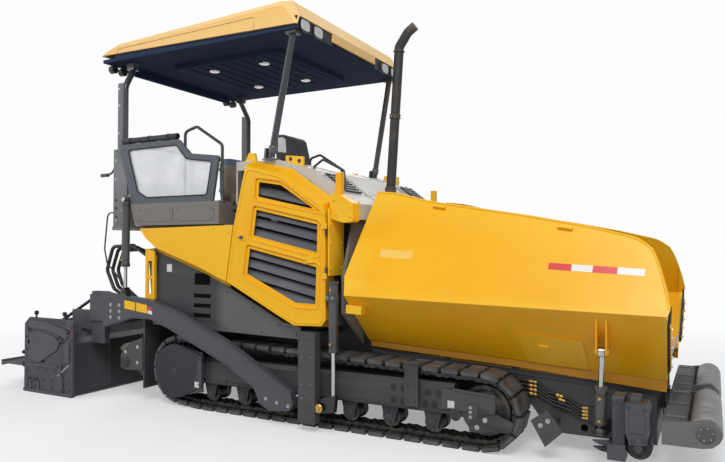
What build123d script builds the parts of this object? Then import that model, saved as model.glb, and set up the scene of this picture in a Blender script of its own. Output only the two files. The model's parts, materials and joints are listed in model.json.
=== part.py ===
"""Tracked asphalt paver with a folding-wing hopper, an operator's platform under a canopy,
two material augers and a towed screed, as separate named pieces.

Frame: +X is the way the machine drives, +Y is its left side, +Z is up. The origin is on the
ground, under the centre of the overall box. All sizes are in millimetres.
"""
from build123d import *
import math
import os

# ---------------------------------------------------------------- overall sizes
overall_length = 7220
front_end = overall_length / 2        # foremost line of the push rollers
rear_end = -overall_length / 2        # rear edge of the screed's walkway
body_half_width = 1220                # outer face of the yellow side panels
screed_half_width = 1370              # outer face of the screed's end gates
run_gap = 0.3                         # clearance between pieces that seat on each other

nodes = {}


# ---------------------------------------------------------------- small helpers
def add(name, *solids):
    """Puts solids under a node's name."""
    found = nodes.setdefault(name, [])
    for shape in solids:
        found.extend(shape.solids())


def box(x0, x1, y0, y1, z0, z1):
    return Pos((x0 + x1) / 2, (y0 + y1) / 2, (z0 + z1) / 2) * Box(
        abs(x1 - x0), abs(y1 - y0), abs(z1 - z0))


def outline(points, radius):
    """A closed flat outline with sharp or rounded corners."""
    if radius:
        return make_face(FilletPolyline(*points, radius=radius, close=True))
    return make_face(Polyline(*points, close=True))


def side_plate(points, y0, y1, radius=0):
    """An outline given as (x, z), as thick as from y0 to y1."""
    face = outline([(x, y0, z) for x, z in points], radius)
    return extrude(face, amount=abs(y1 - y0), dir=(0, 1 if y1 > y0 else -1, 0))


def cross_plate(points, x0, x1, radius=0):
    """An outline given as (y, z), as thick as from x0 to x1."""
    face = outline([(x0, y, z) for y, z in points], radius)
    return extrude(face, amount=abs(x1 - x0), dir=(1 if x1 > x0 else -1, 0, 0))


def floor_plate(points, z0, z1, radius=0):
    """An outline given as (x, y), as thick as from z0 to z1."""
    face = outline([(x, y, z0) for x, y in points], radius)
    return extrude(face, amount=abs(z1 - z0), dir=(0, 0, 1 if z1 > z0 else -1))


def cylinder(start, end, radius):
    a, b = Vector(*start), Vector(*end)
    return Solid.make_cylinder(radius, (b - a).length, Plane(a, z_dir=b - a))


def cross_pin(x, z, radius, y0, y1):
    """A round piece along Y."""
    return cylinder((x, min(y0, y1), z), (x, max(y0, y1), z), radius)


def tube(points, radius, bend):
    """A round bar along straight runs joined by arcs."""
    path = FilletPolyline(*points, radius=bend) if len(points) > 2 else Line(*points)
    start = Plane(path @ 0, z_dir=path % 0)
    return sweep(start * Circle(radius), path=path)


def turned(profile, x, z, y0):
    """A wheel-like piece about a line along Y: profile is (radius, y offset from y0)."""
    face = make_face(Polyline(*[(x + r, y0 + y, z) for r, y in profile], close=True))
    return revolve(face, axis=Axis((x, y0, z), (0, 1, 0)))


def left(shape):
    """The same piece on the machine's left side."""
    return mirror(shape, about=Plane.XZ)


def both(shape):
    return [shape, left(shape)]


# ================================================================ crawlers
# Each crawler is one closed loop of flat shoes on a chain. It runs round a sprocket at the
# rear and an idler at the front, over bottom rollers on a box beam.
shoe_width, shoe_count, shoe_gap = 300, 50, 14
shoe_depth, shoe_web, chain_depth, chain_width = 20, 30, 88, 150
crawler_y = -955
sprocket_x, sprocket_z, rear_loop_radius = -1140, 365, 340
idler_x, front_loop_radius = 1980, 305
idler_z = front_loop_radius
shoe_start = shoe_gap                 # how far behind the idler's foot the first gap lies
ramp_x = -880                         # where the loop leaves the ground at the rear


def loop_segments():
    """The loop's outer line as lines and arcs: ('line', start, end) or ('arc', centre, r, a0, a1)."""
    rear, front = Vector(sprocket_x, sprocket_z), Vector(idler_x, idler_z)
    ramp = Vector(ramp_x, 0)
    away = rear - ramp
    reach = math.degrees(math.acos(rear_loop_radius / away.length))
    toward_ramp = math.degrees(math.atan2(-away.Y, -away.X))
    low_angle = toward_ramp - reach              # tangent point of the ramp on the sprocket end
    span = front - rear
    lean = math.degrees(math.asin((rear_loop_radius - front_loop_radius) / span.length))
    slope = math.degrees(math.atan2(span.Y, span.X))
    top_angle = 90 + slope - lean                # normal of the top run

    def on(centre, radius, angle):
        a = math.radians(angle)
        return Vector(centre.X + radius * math.cos(a), centre.Y + radius * math.sin(a))

    return [
        ("line", Vector(idler_x, 0), ramp),
        ("line", ramp, on(rear, rear_loop_radius, low_angle)),
        ("arc", rear, rear_loop_radius, low_angle, top_angle - 360),
        ("line", on(rear, rear_loop_radius, top_angle), on(front, front_loop_radius, top_angle)),
        ("arc", front, front_loop_radius, top_angle, -90),
    ]


def segment_length(segment):
    if segment[0] == "line":
        return (segment[2] - segment[1]).length
    return abs(math.radians(segment[4] - segment[3])) * segment[2]


loop = loop_segments()
loop_length = sum(segment_length(s) for s in loop)


def loop_point(distance, depth):
    """The point a distance along the loop and a depth inside its outer line, as (x, z)."""
    distance %= loop_length
    for segment in loop:
        length = segment_length(segment)
        if distance <= length:
            break
        distance -= length
    share = distance / length
    if segment[0] == "line":
        start, end = segment[1], segment[2]
        way = (end - start).normalized()
        inward = Vector(way.Y, -way.X)           # the loop is walked clockwise, seen from -Y
        point = start + (end - start) * share + inward * depth
        return point.X, point.Y
    _, centre, radius, first, last = segment
    angle = math.radians(first + (last - first) * share)
    return (centre.X + (radius - depth) * math.cos(angle),
            centre.Y + (radius - depth) * math.sin(angle))


def crawler_loop():
    pitch = loop_length / shoe_count
    outer = []
    for shoe in range(shoe_count):
        start = shoe_start + shoe * pitch + shoe_gap / 2
        end = start + pitch - shoe_gap
        outer += [loop_point(start, shoe_depth), loop_point(start, 0),
                  loop_point(end, 0), loop_point(end, shoe_depth)]

    def ring(depth):
        return [loop_point(shoe_start + shoe * pitch, depth) for shoe in range(shoe_count)]

    y0, y1 = crawler_y - shoe_width / 2, crawler_y + shoe_width / 2
    c0, c1 = crawler_y - chain_width / 2, crawler_y + chain_width / 2
    shoes = side_plate(outer, y0, y1) - side_plate(ring(shoe_web), y0 - 1, y1 + 1)
    chain = side_plate(ring(shoe_web - 2), c0, c1) - side_plate(ring(chain_depth), c0 - 1, c1 + 1)
    return shoes + chain


track = crawler_loop()
add("crawler_tracks", *both(track))

beam_outer, beam_inner = crawler_y - 120, crawler_y + 120
beam_low, beam_rear = 262, -880
beam_high = 2 * front_loop_radius - chain_depth - 22       # clear of the top run
beam_front = idler_x - (front_loop_radius - chain_depth) - 23
side_wall = 20
roller_radius, roller_count, roller_first, roller_last = 80, 7, -740, 1560
roller_z = chain_depth + roller_radius + run_gap
hanger_low = roller_z - 45
idler_radius = front_loop_radius - chain_depth - 11
final_drive_radius = 150
sprocket_radius = rear_loop_radius - chain_depth - 14
sprocket_teeth = 20

roller_places = [roller_first + i * (roller_last - roller_first) / (roller_count - 1)
                 for i in range(roller_count)]


def crawler_frame():
    bevel = 34
    section = [(beam_outer, beam_low), (beam_inner, beam_low), (beam_inner, beam_high - bevel),
               (beam_inner - bevel, beam_high), (beam_outer + bevel, beam_high),
               (beam_outer, beam_high - bevel)]
    beam = cross_plate(section, beam_rear, beam_front)
    beam += box(beam_rear + 30, beam_front, beam_outer - 14, beam_outer, beam_low, beam_low + 26)
    for y0 in (beam_outer, beam_inner - side_wall):
        fork = [(beam_front - 60, idler_z - 55), (idler_x + 60, idler_z - 55),
                (idler_x + 60, idler_z + 55), (beam_front - 60, beam_high - bevel)]
        beam += side_plate(fork, y0, y0 + side_wall)
        for x in roller_places:
            tab = [(x - 75, beam_low + 5), (x - 42, hanger_low), (x + 42, hanger_low),
                   (x + 75, beam_low + 5)]
            beam += side_plate(tab, y0, y0 + side_wall)
    carrier_plate = [(beam_rear + 20, 290), (sprocket_x - 120, 290), (sprocket_x - 120, 440),
                     (beam_rear + 20, beam_high - bevel)]
    beam += side_plate(carrier_plate, beam_inner - side_wall, beam_inner)
    return beam


frame_beam = crawler_frame()
add("crawler_frames", *both(frame_beam))


def flanged_roller(x):
    half = (beam_inner - beam_outer) / 2 - side_wall - run_gap
    y0 = crawler_y - half
    wide = 2 * half
    profile = [(0, 0), (32, 0), (32, 14), (roller_radius, 14), (roller_radius, 50),
               (roller_radius - 12, 58), (roller_radius - 12, wide - 58),
               (roller_radius, wide - 50), (roller_radius, wide - 14), (32, wide - 14),
               (32, wide), (0, wide)]
    return turned(profile, x, roller_z, y0)


for place in roller_places:
    add("track_wheels", *both(flanged_roller(place)))


def front_idler():
    half = (beam_inner - beam_outer) / 2 - side_wall - run_gap
    wide = 2 * half
    rim, hub = 60, 62
    profile = [(0, 0), (hub, 0), (hub, 40), (idler_radius - 45, 70), (idler_radius - 45, 45),
               (idler_radius - 12, 45), (idler_radius, rim), (idler_radius, wide - rim),
               (idler_radius - 12, wide - 45), (idler_radius - 45, wide - 45),
               (idler_radius - 45, wide - 70), (hub, wide - 40), (hub, wide), (0, wide)]
    return turned(profile, idler_x, idler_z, crawler_y - half)


add("track_wheels", *both(front_idler()))


def drive_sprocket():
    points = []
    for tooth in range(sprocket_teeth):
        for share, radius in ((0.0, sprocket_radius - 24), (0.3, sprocket_radius - 24),
                              (0.42, sprocket_radius), (0.58, sprocket_radius)):
            angle = 2 * math.pi * (tooth + share + 0.21) / sprocket_teeth
            points.append((sprocket_x + radius * math.cos(angle),
                           sprocket_z + radius * math.sin(angle)))
    disc = side_plate(points, crawler_y - 24, crawler_y + 24)
    return disc - cross_pin(sprocket_x, sprocket_z, final_drive_radius + run_gap,
                            crawler_y - 60, crawler_y + 60)


add("track_wheels", *both(drive_sprocket()))

cover_radius = 255
cover_inner_y = crawler_y - shoe_width / 2 - 8
cover_thickness = 22


def final_drive():
    """The travel drive: a drum through the sprocket, under a round outer guard."""
    drum = cross_pin(sprocket_x, sprocket_z, final_drive_radius,
                     beam_inner - side_wall - run_gap, cover_inner_y)
    guard = cross_pin(sprocket_x, sprocket_z - 5, cover_radius, cover_inner_y,
                      cover_inner_y - cover_thickness)
    tail = [(sprocket_x, 105), (-800, 182), (-800, 560), (sprocket_x + 70, 605),
            (sprocket_x, 615)]
    guard += side_plate(tail, cover_inner_y, cover_inner_y - cover_thickness)
    guard += box(beam_rear + 20, -800, cover_inner_y, beam_outer - run_gap, 310, 450)
    return drum + guard


add("final_drives", *both(final_drive()))

step_x = 1390


def crawler_step():
    """The channel-shaped bracket that stands on the crawler beam in front of the shoes."""
    outer = beam_outer - 14
    web = box(step_x - 60, step_x + 60, outer - 26, outer - 18, beam_low + 30, 640)
    for x0 in (step_x - 60, step_x + 50):
        web += box(x0, x0 + 10, outer - 26, outer, beam_low + 30, beam_high + 10)
    web += box(step_x - 68, step_x + 68, outer - 34, outer + 4, 640, 652)
    web += box(step_x - 60, step_x + 60, outer - 20, beam_outer - run_gap, beam_low + 30, 330)
    return web


add("crawler_frames", *both(crawler_step()))

# ================================================================ chassis
# The main frame is two long side plates between the crawlers, joined by cross plates. Its
# outriggers carry the lower side panels and the platform.
frame_half = 760
frame_plate = 25
push_radius = 100
beam_x1 = front_end - 2 * push_radius - 10    # the push beam lies just behind its rollers
beam_x0 = beam_x1 - 155
pivot_x = beam_x0 - 23
frame_rear, frame_front = -1500, pivot_x - 32
belly_z, frame_high = 330, 1000
hopper_tilt = 3.2
hopper_rear_x, hopper_rear_z = 850, 710
hopper_length = frame_front - 765
hopper_share = hopper_length / 2425      # the wings are drawn for a hopper of 2425
hopper_seat = Pos(hopper_rear_x, 0, hopper_rear_z) * Rot(0, hopper_tilt, 0)
panel_plane_y = -1130                 # outer face of the dark lower side panels
bulkhead_x0, bulkhead_x1 = 745, 775
deck_low, deck_high = 1760, 1800
hinge_y = -770
floor_drop = 62                       # the conveyor floor lies this far under the wing hinges
deck_sheet = 14
rail_low = -66                        # underside of the wings' hinge ledge
nose_gap, hook_gap = 33.2, 21         # from the deck to the nose plate, from the ledge to a hook


def hopper_line(x, offset):
    """Height of a line parallel to the hopper's floor, offset from the wing hinge."""
    return (hopper_rear_z + offset
            - (x - hopper_rear_x) * math.tan(math.radians(hopper_tilt)))


tie_down_places = ((frame_front - 510, 200),)      # shackle holes through the nose plates, as (x, z)
tie_down_hole = 28


def chassis():
    edge = -30
    rail = [(frame_rear, belly_z), (2280, belly_z), (2420, 140), (frame_front, 140),
            (frame_front, hopper_line(frame_front, edge)), (830, hopper_line(830, edge)),
            (830, frame_high), (frame_rear, frame_high)]
    rail_right = side_plate(rail, -frame_half, -frame_half + frame_plate)
    body = rail_right + left(rail_right)
    inner = frame_half - frame_plate
    body += box(frame_rear, frame_rear + 30, -inner, inner, belly_z, 720)
    nose_high = hopper_line(frame_front, -floor_drop - deck_sheet) - nose_gap
    body += box(frame_front - 30, frame_front, -inner, inner, 150, nose_high)
    body += box(frame_rear + 30, 2280, -inner, inner, belly_z, belly_z + 14)
    body += box(2400, frame_front - 30, -inner, inner, 150, 164)
    for x in (-250, 480):
        body += box(x - 50, x + 50, -inner, inner, frame_high - 90, frame_high)
    for x, z in tie_down_places:
        bore = cross_pin(x, z, tie_down_hole, -frame_half - 5, frame_half + 5)
        body -= bore
    for x in (-420, 900):
        arm = box(x - 110, x + 110, beam_inner + run_gap, -frame_half, 345, 455)
        body += arm + left(arm)
    return body


def outrigger(x):
    reach = panel_plane_y + 30 + run_gap
    points = [(-frame_half - run_gap, 840), (reach, 900), (reach, deck_low - run_gap),
              (-frame_half - run_gap, deck_low - run_gap)]
    return cross_plate(points, x, x + 12)


outrigger_places = (-1450, -980, -520)
for place in outrigger_places:
    add("panel_frames", *both(outrigger(place)))

add("machinery_blocks", box(-330, 735, -560, 560, frame_high + run_gap, 1930))
add("machinery_blocks", box(-1440, -480, -frame_half + 5, frame_half - 5,
                            frame_high + run_gap, deck_low - run_gap))


def bulkhead():
    """The wall between the hopper and the engine, shaped like the folded wings."""
    half = [(frame_half - 40, 700), (frame_half, 700), (1130, 1010), (1130, 1330), (880, 1996.8)]
    points = [(-y, z) for y, z in half] + [(y, z) for y, z in reversed(half)]
    wall = cross_plate(points, bulkhead_x0, bulkhead_x1)
    tunnel = box(bulkhead_x0 - 1, bulkhead_x1 + 1, 60, 660, 690, 1010)
    wall -= box(bulkhead_x0 - 1, bulkhead_x1 + 1, -16, 16, 690, 706)
    wall -= tunnel + left(tunnel)
    wall -= box(bulkhead_x0 - 1, bulkhead_x1 + 1, -frame_half - run_gap,
                -frame_half + frame_plate + run_gap, 600, frame_high + run_gap)
    wall -= box(bulkhead_x0 - 1, bulkhead_x1 + 1, frame_half - frame_plate - run_gap,
                frame_half + run_gap, 600, frame_high + run_gap)
    return wall


# ================================================================ hopper
# Built in the hopper's own frame: x runs forward along the wing hinges, z is square to the
# conveyor floor. The floor drops 3.2 degrees toward the front.
def conveyor_deck():
    deck_rear = -2330
    inner = frame_half - frame_plate - run_gap
    deck = box(deck_rear, hopper_length - 100, -inner, inner, -floor_drop - deck_sheet,
               -floor_drop)
    deck += box(deck_rear, hopper_length - 140, -14, 14, -floor_drop, -floor_drop + 46)
    return deck


slat_pitch = 105
slat_count = int((hopper_length - 160) // slat_pitch)


def conveyor_strand(side):
    """One chain conveyor: two chains and the bars that drag the material."""
    z0 = -floor_drop + run_gap
    length = slat_count * slat_pitch
    chains = [box(30, 30 + length, side * y - 16, side * y + 16, z0, z0 + 24) for y in (110, 560)]
    strand = chains[0] + chains[1]
    for bar in range(slat_count):
        x = 60 + bar * slat_pitch
        strand += box(x, x + 28, side * 335 - 245, side * 335 + 245, z0, z0 + 36)
    return strand


fold_y, fold_z = -1265, 500
fold_rear_z, fold_front_z = 469, 551      # the fold rises toward the front
wing_lean = 26.0
wing_sheet = 14
knuckle_radius = 24
knuckle_length = 150
knuckle_places = [x * hopper_share for x in (180, 760, 1340, 1920)]
wing_top = 1400
wing_front = hopper_length - 10


def wing_side_view():
    """The wing's outline seen from the side, in the hopper's frame, as (x, z)."""
    rear = [(10, -60), (-30, 470), (-75, 626), (24, 1363)]
    rim = [(225, 1355), (539, 1289), (1395, 1196), (1846, 1132), (2177, 1068), (2292, 999),
           (2346, 889), (2404, 720), (2432, 600)]
    return (rear + [(x * hopper_share, z) for x, z in rim]
            + [(wing_front, 545), (wing_front, -60)])


def fold_height(x):
    return fold_rear_z + (fold_front_z - fold_rear_z) * x / wing_front


def low_angle(x):
    """Slope of the sheet between the hinge and the fold, in radians."""
    return math.atan2(fold_height(x), hinge_y - fold_y)


def wing_section(outer, inner, x):
    """The folded sheet's section between two depths inside its outer face, as (y, z)."""
    low = low_angle(x)
    fold_here = fold_height(x)
    top_y = fold_y + (wing_top - fold_z) * math.tan(math.radians(wing_lean))
    lean = math.atan2(top_y - fold_y, wing_top - fold_here)
    foot = 52                                   # the sheet stops short of the hinge line

    def layer(depth):
        normal_low = Vector(math.sin(low), math.cos(low))
        normal_up = Vector(math.cos(lean), -math.sin(lean))
        bend = (normal_low + normal_up).normalized()
        bend = bend * (1 / bend.dot(normal_low))
        start = Vector(hinge_y - foot * math.cos(low), foot * math.sin(low))
        fold = Vector(fold_y, fold_here)
        top = Vector(top_y, wing_top)
        return [start + normal_low * depth, fold + bend * depth, top + normal_up * depth]

    points = layer(outer) + list(reversed(layer(inner)))
    return [(p.X, p.Y) for p in points]


def wing_sheet_between(outer, inner, x0, x1):
    ends = [make_face(Polyline(*[(x, y, z) for y, z in wing_section(outer, inner, x)], close=True))
            for x in (x0, x1)]
    return loft(ends, ruled=True)


cylinder_x = 2000 * hopper_share       # place of the wing cylinder along the hopper
cylinder_base = (-990, -345)          # its foot pin, as (y, z) in the hopper's frame
cylinder_eye = (-1105, 245)           # its rod pin
ear_gap, ear_plate = 27, 12
eye_pin_radius, eye_bore_radius, eye_radius, eye_half = 15, 21, 37, 21


def hopper_wing():
    profile = side_plate(wing_side_view(), 0, -1500)
    wing = wing_sheet_between(0, wing_sheet, -80, wing_front + 35)
    wing &= profile
    front_rim = wing_sheet_between(0, 46, wing_front - 40, wing_front + 40) & profile
    wing += front_rim
    # the hinge tube's knuckles, each on a short strap to the sheet
    for x in knuckle_places:
        low = low_angle(x)
        pivot = (hinge_y, 0)
        tube_piece = cylinder((x, *pivot), (x + knuckle_length, *pivot), knuckle_radius)
        strap = [(hinge_y - t * math.cos(low) + d * math.sin(low),
                  t * math.sin(low) + d * math.cos(low))
                 for t, d in ((0, 0), (60, 0), (60, wing_sheet), (0, wing_sheet))]
        wing += tube_piece + cross_plate(strap, x, x + knuckle_length)
    # the skirt that hangs outside the hinge tube
    wing += side_plate([(20, 52), (20, -2), (wing_front - 1060, -4), (wing_front, -32),
                        (wing_front, 52)], hinge_y - 46, hinge_y - 38)
    # a pressed stiffening panel low on the outside
    raised = side_plate([(x * hopper_share, z) for x, z in
                         ((1425, 52), (1880, 46), (1855, 300), (1375, 300))], 0, -1500)
    wing += wing_sheet_between(-9, 4, 1300 * hopper_share, 1950 * hopper_share) & raised
    # ears that carry the cylinder's rod pin
    y_eye, z_eye = cylinder_eye
    low = low_angle(cylinder_x)
    weld = [(hinge_y - t * math.cos(low) + 7 * math.sin(low), t * math.sin(low) + 7 * math.cos(low))
            for t in (410, 680)]
    for side in (-1, 1):
        x0 = cylinder_x + side * ear_gap
        ear = [(y_eye - 34, z_eye - 20), (y_eye + 30, z_eye - 34)] + weld
        wing += cross_plate(ear, x0, x0 + side * ear_plate)
    wing += cylinder((cylinder_x - ear_gap - ear_plate - 8, y_eye, z_eye),
                     (cylinder_x + ear_gap + ear_plate + 8, y_eye, z_eye), eye_pin_radius)
    # the latch bracket at the rear, under the fold
    wing += box(-25, 120, fold_y + 40, fold_y + 150, fold_rear_z - 150, fold_rear_z - 80)
    return wing


def wing_flap():
    """The rubber flap on the front edge of a wing. It bows forward."""
    low = low_angle(wing_front)
    x0 = wing_front + run_gap
    points = []
    for t, d in ((150, 2), (640, 2), (640, 190), (150, 90)):
        points.append((hinge_y - t * math.cos(low) + d * math.sin(low),
                       t * math.sin(low) + d * math.cos(low)))
    return cross_plate(points, x0, x0 + 16)


def hinge_rail():
    """The fixed knuckles between the wing's own, on a ledge along the chassis plate."""
    ledge = box(20, hopper_length - 60, hinge_y - 6, hinge_y + 10 - run_gap, rail_low,
                -knuckle_radius - 6)
    for x in knuckle_places:
        x1 = x - 0.8
        x0 = x1 - 60
        ledge += cylinder((x0, hinge_y, 0), (x1, hinge_y, 0), knuckle_radius)
        ledge += box(x0, x1, hinge_y - 6, hinge_y + 10 - run_gap, -knuckle_radius - 6, 0)
    return ledge


wing = hopper_wing()
wing_right = hopper_seat * wing
flap_right = hopper_seat * wing_flap()
rail_right = hopper_seat * hinge_rail()
add("hopper_wing_right", wing_right)
add("hopper_wing_left", left(wing_right))
add("wing_flap_right", flap_right)
add("wing_flap_left", left(flap_right))
add("wing_mountings", *both(rail_right))
add("conveyor_deck", hopper_seat * conveyor_deck())
add("conveyor_chains", hopper_seat * conveyor_strand(-1), hopper_seat * conveyor_strand(1))
add("hopper_bulkhead", bulkhead())

# --- wing cylinders
barrel_radius, barrel_length, rod_radius = 44, 335, 19


def along(share_length):
    """A point on the cylinder's axis, that far from its foot pin, as (x, y, z)."""
    (y0, z0), (y1, z1) = cylinder_base, cylinder_eye
    length = math.hypot(y1 - y0, z1 - z0)
    s = share_length / length
    return cylinder_x, y0 + (y1 - y0) * s, z0 + (z1 - z0) * s


cylinder_length = math.hypot(cylinder_eye[0] - cylinder_base[0], cylinder_eye[1] - cylinder_base[1])


def wing_barrel():
    y0, z0 = cylinder_base
    foot = cylinder((cylinder_x - eye_half, y0, z0), (cylinder_x + eye_half, y0, z0), 34)
    body = foot + cylinder(along(58), along(barrel_length), barrel_radius)
    body += cylinder(along(20), along(60), 21)
    body -= cylinder(along(60), along(barrel_length + 5), rod_radius + run_gap)
    body -= cylinder((cylinder_x - 60, y0, z0), (cylinder_x + 60, y0, z0), 16 + run_gap)
    return body


def wing_rod():
    y1, z1 = cylinder_eye
    rod = cylinder(along(226), along(cylinder_length - eye_bore_radius - 4), rod_radius)
    rod += cylinder((cylinder_x - eye_half, y1, z1), (cylinder_x + eye_half, y1, z1), eye_radius)
    return rod - cylinder((cylinder_x - 60, y1, z1), (cylinder_x + 60, y1, z1), eye_bore_radius)


def cylinder_foot():
    """The bracket on the chassis plate that holds a wing cylinder's foot pin."""
    y0, z0 = cylinder_base
    foot = cylinder((cylinder_x - 42, y0, z0), (cylinder_x + 42, y0, z0), 16)
    for side in (-1, 1):
        x0 = cylinder_x + side * (eye_half + 3)
        foot += cross_plate([(-frame_half - run_gap, z0 - 62), (y0 - 28, z0 - 24),
                             (y0 - 28, z0 + 18), (-frame_half - run_gap, z0 + 46)],
                            x0, x0 + side * 14)
    return foot


barrel_right, rod_right = hopper_seat * wing_barrel(), hopper_seat * wing_rod()
add("wing_barrel_right", barrel_right)
add("wing_barrel_left", left(barrel_right))
add("wing_rod_right", rod_right)
add("wing_rod_left", left(rod_right))
add("wing_mountings", *both(hopper_seat * cylinder_foot()))

# --- front apron across the hopper's mouth
apron_x = hopper_length - 121


def front_apron():
    inner = frame_half - frame_plate - 6
    lip = side_plate([(apron_x, -floor_drop + run_gap), (apron_x + 14, -floor_drop + run_gap),
                      (apron_x + 110, 170), (apron_x + 96, 170)], -inner, inner)
    lip += box(apron_x + 92, apron_x + 112, -inner, inner, 170, 190)
    return lip


add("front_apron", hopper_seat * front_apron())

# ================================================================ push beam and rollers
beam_z0, beam_z1 = 265, 425
push_x, push_z = front_end - push_radius, 368
push_half = 1170
push_middle = 150
end_cap = 26


def push_beam():
    body = box(beam_x0, beam_x1, -push_half, push_half, beam_z0, beam_z1)
    body = chamfer(body.edges().filter_by(Axis.Y).group_by(Axis.Z)[-1], 12)
    body -= box(beam_x0 + 40, beam_x1 + 5, -12, 12, beam_z1 - 30, beam_z1 + 5)
    for y in (-push_half, -push_middle, push_middle - end_cap, push_half - end_cap):
        ear = side_plate([(beam_x1 - 30, beam_z0), (push_x - 20, push_z - 100),
                          (push_x + 40, push_z - 88), (push_x + 82, push_z - 40),
                          (push_x + 82, push_z + 30), (push_x + 30, push_z + 84),
                          (beam_x1 - 30, beam_z1)], y, y + end_cap)
        body += ear
    # the pivot boss on the rear face
    body += box(pivot_x - 18, beam_x0, -50, 50, 290, 400)
    body -= cylinder((pivot_x, 0, 280), (pivot_x, 0, 420), 10.5)
    return body


def push_roller(y0, y1):
    gap = 0.8
    tube_piece = cross_pin(push_x, push_z, push_radius, y0 + gap, y1 - gap)
    tube_piece = chamfer(tube_piece.edges().filter_by(GeomType.CIRCLE), 6)
    return tube_piece


def push_pivot():
    """The bracket on the chassis nose that the push beam swings on."""
    nose = box(frame_front, frame_front + 8, -150, 150, 230, 460)
    for z0, z1 in ((262, 284), (406, 428)):
        nose += box(frame_front + 8, pivot_x + 13, -80, 80, z0, z1)
    nose += cylinder((pivot_x, 0, 262), (pivot_x, 0, 428), 10)
    return nose


add("chassis_frame", chassis() + push_pivot())
add("push_beam", push_beam())
add("push_roller_right", push_roller(-push_half + end_cap, -push_middle))
add("push_roller_left", push_roller(push_middle, push_half - end_cap))

# ================================================================ truck hooks
# A truck hook hangs on each side of the chassis nose: a bracket, an arm housing and the
# rubber roller that grips a truck's wheel.
hook_y0, hook_y1 = -1120, -900
hook_roller_x, hook_roller_z, hook_roller_radius = frame_front - 95, 196, 86


def truck_hook():
    x = frame_front - 265
    arm_high = hopper_line(x + 125, rail_low) - hook_gap
    arm = box(x, x + 125, -frame_half - run_gap, hook_y1 - 40, 300, arm_high)
    column = box(x, x + 80, hook_y0 + 30, hook_y1, 110, 535)
    column = chamfer(column.edges().filter_by(Axis.X).group_by(Axis.Z)[-1], 14)
    foot = box(x - 35, x + 85, hook_y0 + 10, hook_y1 - 60, 92, 205)
    housing = side_plate([(x + 85, 500), (x + 225, 500), (x + 247, 455), (x + 225, 225),
                          (x + 115, 215), (x + 85, 300)], hook_y0, hook_y1)
    housing += box(x + 115, x + 185, hook_y0 + 60, hook_y1 - 50, 500, 545)
    prongs = [side_plate([(x - 140, z), (x - 25, z + 12), (x - 25, z - 34), (x - 95, z - 22)],
                         y, y + 30) for z, y in ((205, -1080), (150, -1040))]
    return arm + column + foot + housing + prongs[0] + prongs[1]


def hook_roller():
    y0, y1 = hook_y0 + 35, hook_y1 - 35
    wide = y1 - y0
    rim = hook_roller_radius
    return turned([(0, 0), (rim - 16, 0), (rim, 18), (rim, wide - 18), (rim - 16, wide), (0, wide)],
                  hook_roller_x, hook_roller_z, y0)


hook = truck_hook()
roller = hook_roller()
hook -= cross_pin(hook_roller_x, hook_roller_z, hook_roller_radius + run_gap,
                  hook_y0 + 35 - run_gap, hook_y1 - 35 + run_gap)
add("truck_hooks", *both(hook))
add("hook_rollers", *both(roller))


def track_scraper():
    """The plate that keeps spilled mix off the shoes, on an arm from the chassis."""
    x = idler_x + front_loop_radius + 65
    plate = side_plate([(x, 292), (x + 120, 385), (x + 235, 235), (x + 105, 110)], -1090, -1070)
    plate += box(x + 90, x + 150, -1070, -frame_half - run_gap, 225, 265)
    return plate


add("crawler_frames", *both(track_scraper()))

# ================================================================ tow points
# The tow arm's front end is held at a block that a vertical cylinder raises and lowers in a
# guide column outside the crawler.
tow_x, tow_z = 590, 212
tow_link_y0, tow_link_y1 = -1166, -1138
guide_x0, guide_x1 = 395, 565
tow_cylinder_x, tow_cylinder_y = 705, -1195


def tow_guide():
    """A guide column with its web outward and a head bracket back to the chassis."""
    column = box(guide_x0, guide_x1, -1270, -1252, 75, 850)
    column += box(guide_x0, guide_x0 + 14, -1252, -1180, 75, 850)
    column += box(guide_x1 - 14, guide_x1, -1252, -1180, 75, 850)
    column += box(guide_x0, guide_x1, -1252, -1180, 800, 850)
    column += box(guide_x0 + 20, guide_x1 - 20, -1180, -frame_half - run_gap, 806, 846)
    return column


def tow_head():
    """The bracket that holds the tow cylinder's upper end."""
    head = box(tow_cylinder_x - 50, tow_cylinder_x + 30, tow_cylinder_y - 48,
               -1140, 1120, 1180)
    head += box(tow_cylinder_x - 50, tow_cylinder_x - 10, -1140, -930, 900, 1180)
    head += box(tow_cylinder_x - 50, tow_cylinder_x - 10, -930, -frame_half - run_gap, 900, 990)
    return head


def tow_cylinder():
    top, bottom = 1290, 700
    body = cylinder((tow_cylinder_x, tow_cylinder_y, bottom),
                    (tow_cylinder_x, tow_cylinder_y, top), 42)
    body += cylinder((tow_cylinder_x, tow_cylinder_y, 300),
                     (tow_cylinder_x, tow_cylinder_y, bottom), 19)
    block = side_plate([(tow_x - 24, tow_z - 52), (tow_cylinder_x + 20, tow_z - 30),
                        (tow_cylinder_x + 36, 320), (tow_cylinder_x - 36, 320),
                        (tow_x - 24, tow_z + 60)], -1222, tow_link_y0 - 5)
    pin = cross_pin(tow_x, tow_z, 24, -1246, -1115)
    return body + block + pin


def tow_bearing():
    """The head bracket with room for the cylinder's barrel."""
    return tow_head() - cylinder((tow_cylinder_x, tow_cylinder_y, 1000),
                                 (tow_cylinder_x, tow_cylinder_y, 1300), 42 + run_gap)


add("tow_guides", *both(tow_guide()))
add("tow_guides", *both(tow_bearing()))
add("tow_cylinders", *both(tow_cylinder()))

# ================================================================ tow arms and screed
arm_y0, arm_y1 = -1250, -1182
screed_rear = rear_end + 470
screed_front = screed_rear + 760
bracket_x = screed_front + 310        # rear end of the tow arms


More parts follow.
